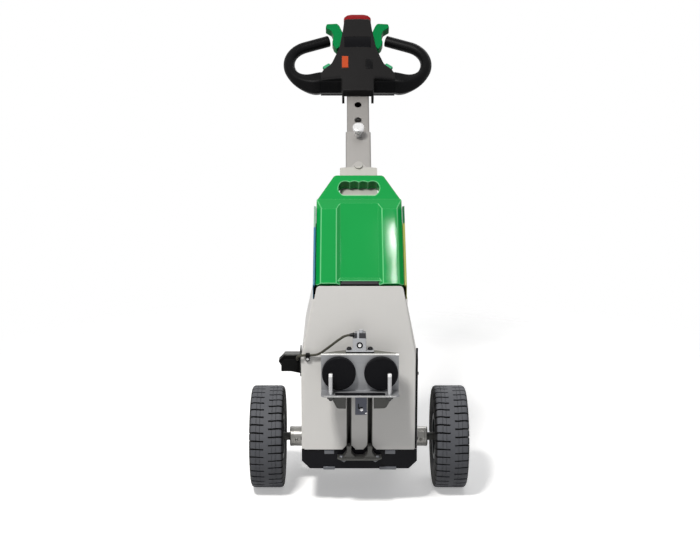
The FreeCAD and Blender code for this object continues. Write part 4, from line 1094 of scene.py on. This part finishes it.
# Painted shade: a thin dark strip under the sensor's foot draws its shadow line.
foot_shade_strip = (rounded_block((67.2, 29.6, FOOT_SHADE_STRIP), 0.4),
          shift(0, sensor_y, sensor_low.z + FOOT_SHADE_STRIP / 2 * MM))
make_piece("sensor_shade_strip", [foot_shade_strip], "coupling_carriage", disc_rubber)
bolt_at = Vector((-0.5 * MM, sensor_y - 10 * MM, 431 * MM))
ring = (turned(SENSOR_RING, 28), facing(bolt_at, FRONT))
make_piece("sensor_ring", [ring], "coupling_carriage", black_screw)
bolt = (hexagon(8, 2.4), facing(bolt_at + FRONT * 0.8 * MM, FRONT))
make_piece("sensor_bolt", [bolt], "coupling_carriage", bright_steel)

# %% [markdown]
# A gland grips the cable where it enters the sensor: a hexagon to hold, and a soft sleeve that
# tapers onto the cable so that it can't kink there. The sleeve's bore is left open for the cable.

# %% The cable's gland
GLAND = (-17.3, -343.781, 453.3)
SLEEVE = [(3.05, -0.5), (4.7, 0), (4.5, 2.5), (3.5, 7.5), (3.05, 7.5), (3.05, -0.5)]
gland = Vector(GLAND) * MM
parts = [(hexagon(11, 3.4), facing(gland + RIGHT * 3.6 * MM, -RIGHT)),
         (turned(SLEEVE, 20), facing(gland, -RIGHT))]
make_piece("sensor_gland_nut", parts, "coupling_carriage", plain_black)

# %% [markdown]
# The lower switch hangs under the tray. A bent slot in its face lets its bolt be set to height, and a
# small screw closes its corner. The slot is a thin dark plate on the face, painted shade for the
# inside of the cut: at half a millimetre it reads as a cut, and the switch's own mesh stays
# untouched.

# %% The lower switch
SLOT = [(-3.4, 11), (-1.2, 11), (-1.2, 1.5), (8, 3.2), (8.6, 1.4), (0.6, -2.6), (-3.4, -1.2)]
switch_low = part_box("lower_switch")[0]
# Painted shade: the slot's dark plate.
slot = (plate(SLOT, 0.5), shift(-1 * MM, switch_low.y, switch_low.z + 17 * MM) @ STANDING)
make_piece("switch_slot", [slot], "coupling_carriage", black_screw)
places = [(Vector((x * MM, switch_low.y, switch_low.z + z * MM)), FRONT, kind, size)
          for x, z, kind, size in ((4, 13, "hex", 3.2), (14.6, 4, "button", 2.6))]
screws("switch_bolts", places, "coupling_carriage", bright_steel)

# %% [markdown]
# A dark strip lies in the tray between the pins; it is painted shade, for the shadow where the tray
# meets the face. Each disc has a raised rim where it was moulded against its backing plate.

# %% Tray shade strip and disc rims
TRAY_SHEET = 4
DISC_SPACING = 50
DISC_RIM = [(35.6, -0.2), (35.9, 0.25), (36.9, 0.25), (37.2, -0.2), (35.6, -0.2)]
tray_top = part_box("coupling_face")[0].z + TRAY_SHEET * MM
# Painted shade: the dark strip in the tray.
strip = (rounded_block((118, 13, 3), 0.8),
         shift(0, middle_of("coupling_pins").y, tray_top + 1.4 * MM))
make_piece("tray_shade_strip", [strip], "coupling_carriage", disc_rubber)
disc_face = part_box("coupling_pads")[0].y
disc_height = middle_of("coupling_pads").z
parts = [(turned(DISC_RIM, 48),
          facing(Vector((side * DISC_SPACING * MM, disc_face, disc_height)), FRONT))
         for _, side in SIDES]
make_piece("pad_rings", parts, "coupling_carriage", disc_rubber)

# %% [markdown]
# The sensor's cable is a thin flexible lead. It leaves its gland sideways, sags across the front
# plate, is held by a clip at the plate's edge and dives into the charging socket. A swept tube would
# bend like wire at each corner, so it is a smooth spline with the plain tube's own points as its
# control points. The gland's end follows the coupling up and down and the clip's end stays with the
# body.

# %% The sensor's cable
CABLE_THICKNESS = 6
cable_points = [
    GLAND, (-33, -343.781, 453.3), (-52, -340.781, 439.3), (-73, -331.781, 420.3),
    (-95, -315.781, 399), (-109, -311.281, 393), (-151, -311.281, 393), (-151, -291.081, 373),
    (-151, -273.081, 373),
]
route = bpy.data.curves.new("cable_route", "CURVE")
route.dimensions = "3D"
spline = route.splines.new("NURBS")
spline.points.add(len(cable_points) - 1)
for point, place in zip(spline.points, cable_points):
    point.co = (*(Vector(place) * MM), 1)
spline.order_u = 3
spline.use_endpoint_u = True
spline.resolution_u = 16
holder = bpy.data.objects.new("cable_route", route)
bpy.context.scene.collection.objects.link(holder)


def curve_mesh(curve_object):
    """The mesh that a curve gives as it stands."""
    bpy.context.view_layer.update()
    return bpy.data.meshes.new_from_object(curve_object.evaluated_get(
        bpy.context.evaluated_depsgraph_get()))


line = curve_mesh(holder)

# %% [markdown] The same curve gets its thickness from a bevel depth, which needs no modelling and
# keeps the tube round in the bends. Its mesh is then a piece like any other.

# %% The cable's skin
route.bevel_depth = CABLE_THICKNESS / 2 * MM
route.bevel_resolution = 4
route.use_fill_caps = True
skin = bmesh.new()
skin.from_mesh(curve_mesh(holder))
bpy.data.objects.remove(holder)
cable = make_piece("sensor_lead", [(skin, Matrix())], None, cable_skin, 60)
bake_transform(cable)
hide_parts("sensor_cable")

# %% [markdown]
# The charging socket hangs at the body's left side, behind a small lid with a cut corner. The lid is
# an outline with softened edges, because only its front shows. One bright screw holds the cable's
# clip and another holds the socket's bracket.

# %% Socket lid and clip screws
LID = [(-20, -17), (16, -17), (22, -9), (22, 14), (-12, 14), (-20, 6)]
clip_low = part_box("cable_clip")[0]
socket_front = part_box("charging_socket")[0].y
bracket_low, bracket_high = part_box("socket_bracket")
clip_screw = Vector((middle_of("cable_clip").x, clip_low.y + 7.5 * MM, clip_low.z + 7 * MM))
bracket_screw = Vector((bracket_low.x + 53 * MM, socket_front - 6 * MM, bracket_high.z - 8 * MM))
places = [(clip_screw, FRONT, "button", 4.0), (bracket_screw, FRONT, "button", 3.0)]
screws("clip_screws", places, "chassis", bright_steel)
socket_middle = middle_of("charging_socket")
lid = (plate(LID, 1.6, 0.5), shift(socket_middle.x, socket_front, socket_middle.z) @ STANDING)
make_piece("socket_lid", [lid], "chassis", socket_lens)

# %% [markdown]
# Two thin covers close the gaps beside the battery. The frame's cheeks leave a bay that the pack
# lifts out of freely, so each cover is a sheet a little further in, with a lip along its front edge
# that reaches almost to the pack. The sheet is an outline seen from the side, in millimetres back
# and up, and it stays just inside the cheek that it stands for.

# %% Side covers beside the battery
COVER_OUT = 112.4
COVER_SHEET = 1.1
LIP_IN = 107.1
LIP_LENGTH = 231
cover_outline = [(-300.3, 530.2), (-191, 530.2), (-64.5, 656.6), (-136, 727.9), (-300.3, 563.6)]
ON_SIDE = Matrix(((0, 0, 1, 0), (1, 0, 0, 0), (0, 1, 0, 0), (0, 0, 0, 1)))
for name, side, finish, slot in (("left", -1, cheek_left, "blue_cover"),
                                 ("right", 1, cheek_right, "yellow_cover")):
    inner_face = side * COVER_OUT - (COVER_SHEET if side > 0 else 0)
    lip_middle = side * (COVER_OUT + LIP_IN) / 2
    parts = [(plate(cover_outline, COVER_SHEET), shift(inner_face * MM, 0, 0) @ ON_SIDE),
             (rounded_block((COVER_OUT - LIP_IN, LIP_LENGTH, 11), 1.6, 3),
              leaning(lip_middle, 5 + LIP_LENGTH / 2, -7.6))]
    cover = make_piece(name + "_side_cover", parts, "chassis", finish)
    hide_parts(name + "_cheek")

# %% [markdown]
# The head is what the hand meets. Its face is crowned: it falls away to both sides like a slice of a
# large cylinder. What lies on it has to lean with it, so the ruler is bent to the crown first. A
# flat plate would float at its ends or sink in at its middle. It is cut into slices across, whose
# corners then drop to the crown.

# %% The crowned face of the head
HEAD_HALF, HEAD_DROP = 101, 11
CROWN_RADIUS = (HEAD_HALF ** 2 + HEAD_DROP ** 2) / (2 * HEAD_DROP)
HEAD_FACE = -26
SLICE = 6


def face_out(across):
    """How far out the crowned face of the head is, in millimetres, at a place across it."""
    return HEAD_FACE - CROWN_RADIUS + math.sqrt(CROWN_RADIUS ** 2 - across ** 2)


def on_head(across, along, lift):
    """The placement of a shape that lies on the head's crowned face."""
    tilt = Matrix.Rotation(math.asin(across / CROWN_RADIUS), 4, "Y")
    return leaning(across, along, face_out(across) + lift) @ tilt


def curved_plate(width, height, thickness, radius):
    """A flat plate in slices across, so that it can follow the crowned face."""
    shape = rounded_block((width, height, thickness), radius)
    for x in range(-int(width / 2) + SLICE, int(width / 2), SLICE):
        bmesh.ops.bisect_plane(shape, geom=geometry_of(shape), plane_co=(x * MM, 0, 0),
                               plane_no=(1, 0, 0))
    for corner in shape.verts:
        corner.co.z += (face_out(corner.co.x / MM) - HEAD_FACE) * MM
    return shape


print("the crown's radius is", round(CROWN_RADIUS), "mm")

# %% [markdown]
# A red safety cap ends the head, and reverses the machine when it meets the driver. A thin skin with
# softened edges lies over it, so that its rim catches the light. Below it a recess holds a label,
# which stays blank here: a plain plate with more gloss than the housing.

# %% Red cap and blank label
CAP_BACK, CAP_DEPTH = -92.5, 59
LABEL_ALONG = 806.5
cap_outline = [(-38.2, 894.6), (38.2, 894.6), (37.7, 905), (29, 914), (17, 917.2), (-17, 917.2),
               (-29, 914), (-37.7, 905)]
cap = (plate(cap_outline, CAP_DEPTH, 3), leaning(0, 0, CAP_BACK))
make_piece("cap_skin", [cap], "tiller_mast", cap_red)
label = (curved_plate(72.6, 37.6, 0.8, 0.3), leaning(0, LABEL_ALONG, HEAD_FACE - 0.75))
make_piece("label_plate", [label], "tiller_mast", label_black)

# %% [markdown]
# The housing has room for two rocker switches. The orange one stands in a frame, and a blank cover
# closes the other opening. In each shoulder lies a small mint-green button that the thumb finds
# without looking, turned to follow the edge of the head.

# %% Rocker frame, blank cover and shoulder buttons
blank = (rounded_block((19.5, 35, 2.2), 0.9), on_head(31, 727, -0.2))
make_piece("blank_cover", [blank], "tiller_mast", grip_black)
rocker_frame = (rounded_block((21, 45, 1.6), 0.7), on_head(-34.5, 731.5, -0.1))
make_piece("rocker_frame", [rocker_frame], "tiller_mast", plain_black)
parts = []
for _, side in SIDES:
    along_edge = Matrix.Rotation(side * math.radians(-38), 4, "Z")
    parts.append((rounded_block((24, 13, 11), 4, 3), leaning(side * 84, 729, -43) @ along_edge))
make_piece("shoulder_buttons", parts, "tiller_mast", button_mint)

# %% [markdown]
# The head is two shells, screwed together from behind where the driver doesn't lean on them. The
# tiller's bracket is bolted through its two sides, and these bolts carry the pull of the hand, so
# they are the larger ones, on washers.

# %% Head and bracket screws
places = [(on_lean(x, along, -100), -OUT_LEAN, "button", 5)
          for x in (-30, 30) for along in (700, 800, 875)]
screws("head_screws", places, "tiller_mast", black_screw)
places = [(on_lean(side * 41.3, along, -80), RIGHT * side, "hex", 7)
          for _, side in SIDES for along in (290, 350)]
screws("bracket_screws", places, "chassis", zinc)

# %% [markdown]
# The floor is a plain pale sheet that fades out round the machine, so that no edge shows. It is
# part of the stage and not of the machine. It looks pale, yet throws little light up under the
# machine, and it is clear from below, so that the underside can be looked at.

# %% Floor
FADE_START, FADE_END = 1.0, 1.9
floor_shape = bmesh.new()
bmesh.ops.create_grid(floor_shape, x_segments=1, y_segments=1, size=14)
floor_mesh = bpy.data.meshes.new("floor")
floor_shape.to_mesh(floor_mesh)
floor_shape.free()
floor = bpy.data.objects.new("floor", floor_mesh)
bpy.context.scene.collection.objects.link(floor)
pale = Finish("pale_floor", (0.93, 0.93, 0.93), 0.8)
seen = seen_rays(pale.tree)
pale.set(Base_Color=pale.mix(seen, (0.4, 0.4, 0.4), (0.9, 0.9, 0.9)),
         Emission_Color=pale.mix(seen, (0, 0, 0), (0.36, 0.36, 0.36)), Emission_Strength=1.0)
across, back, _ = pale.axes()
from_middle = (across * across + back * back).root()
underside = pale.node("NewGeometry", {}, {}, "Backfacing")
pale.set(Alpha=(1 - from_middle.step(FADE_START, FADE_END)) * (1 - underside))
floor.data.materials.append(pale.material)
print("floor fades out from", FADE_START, "to", FADE_END, "m")
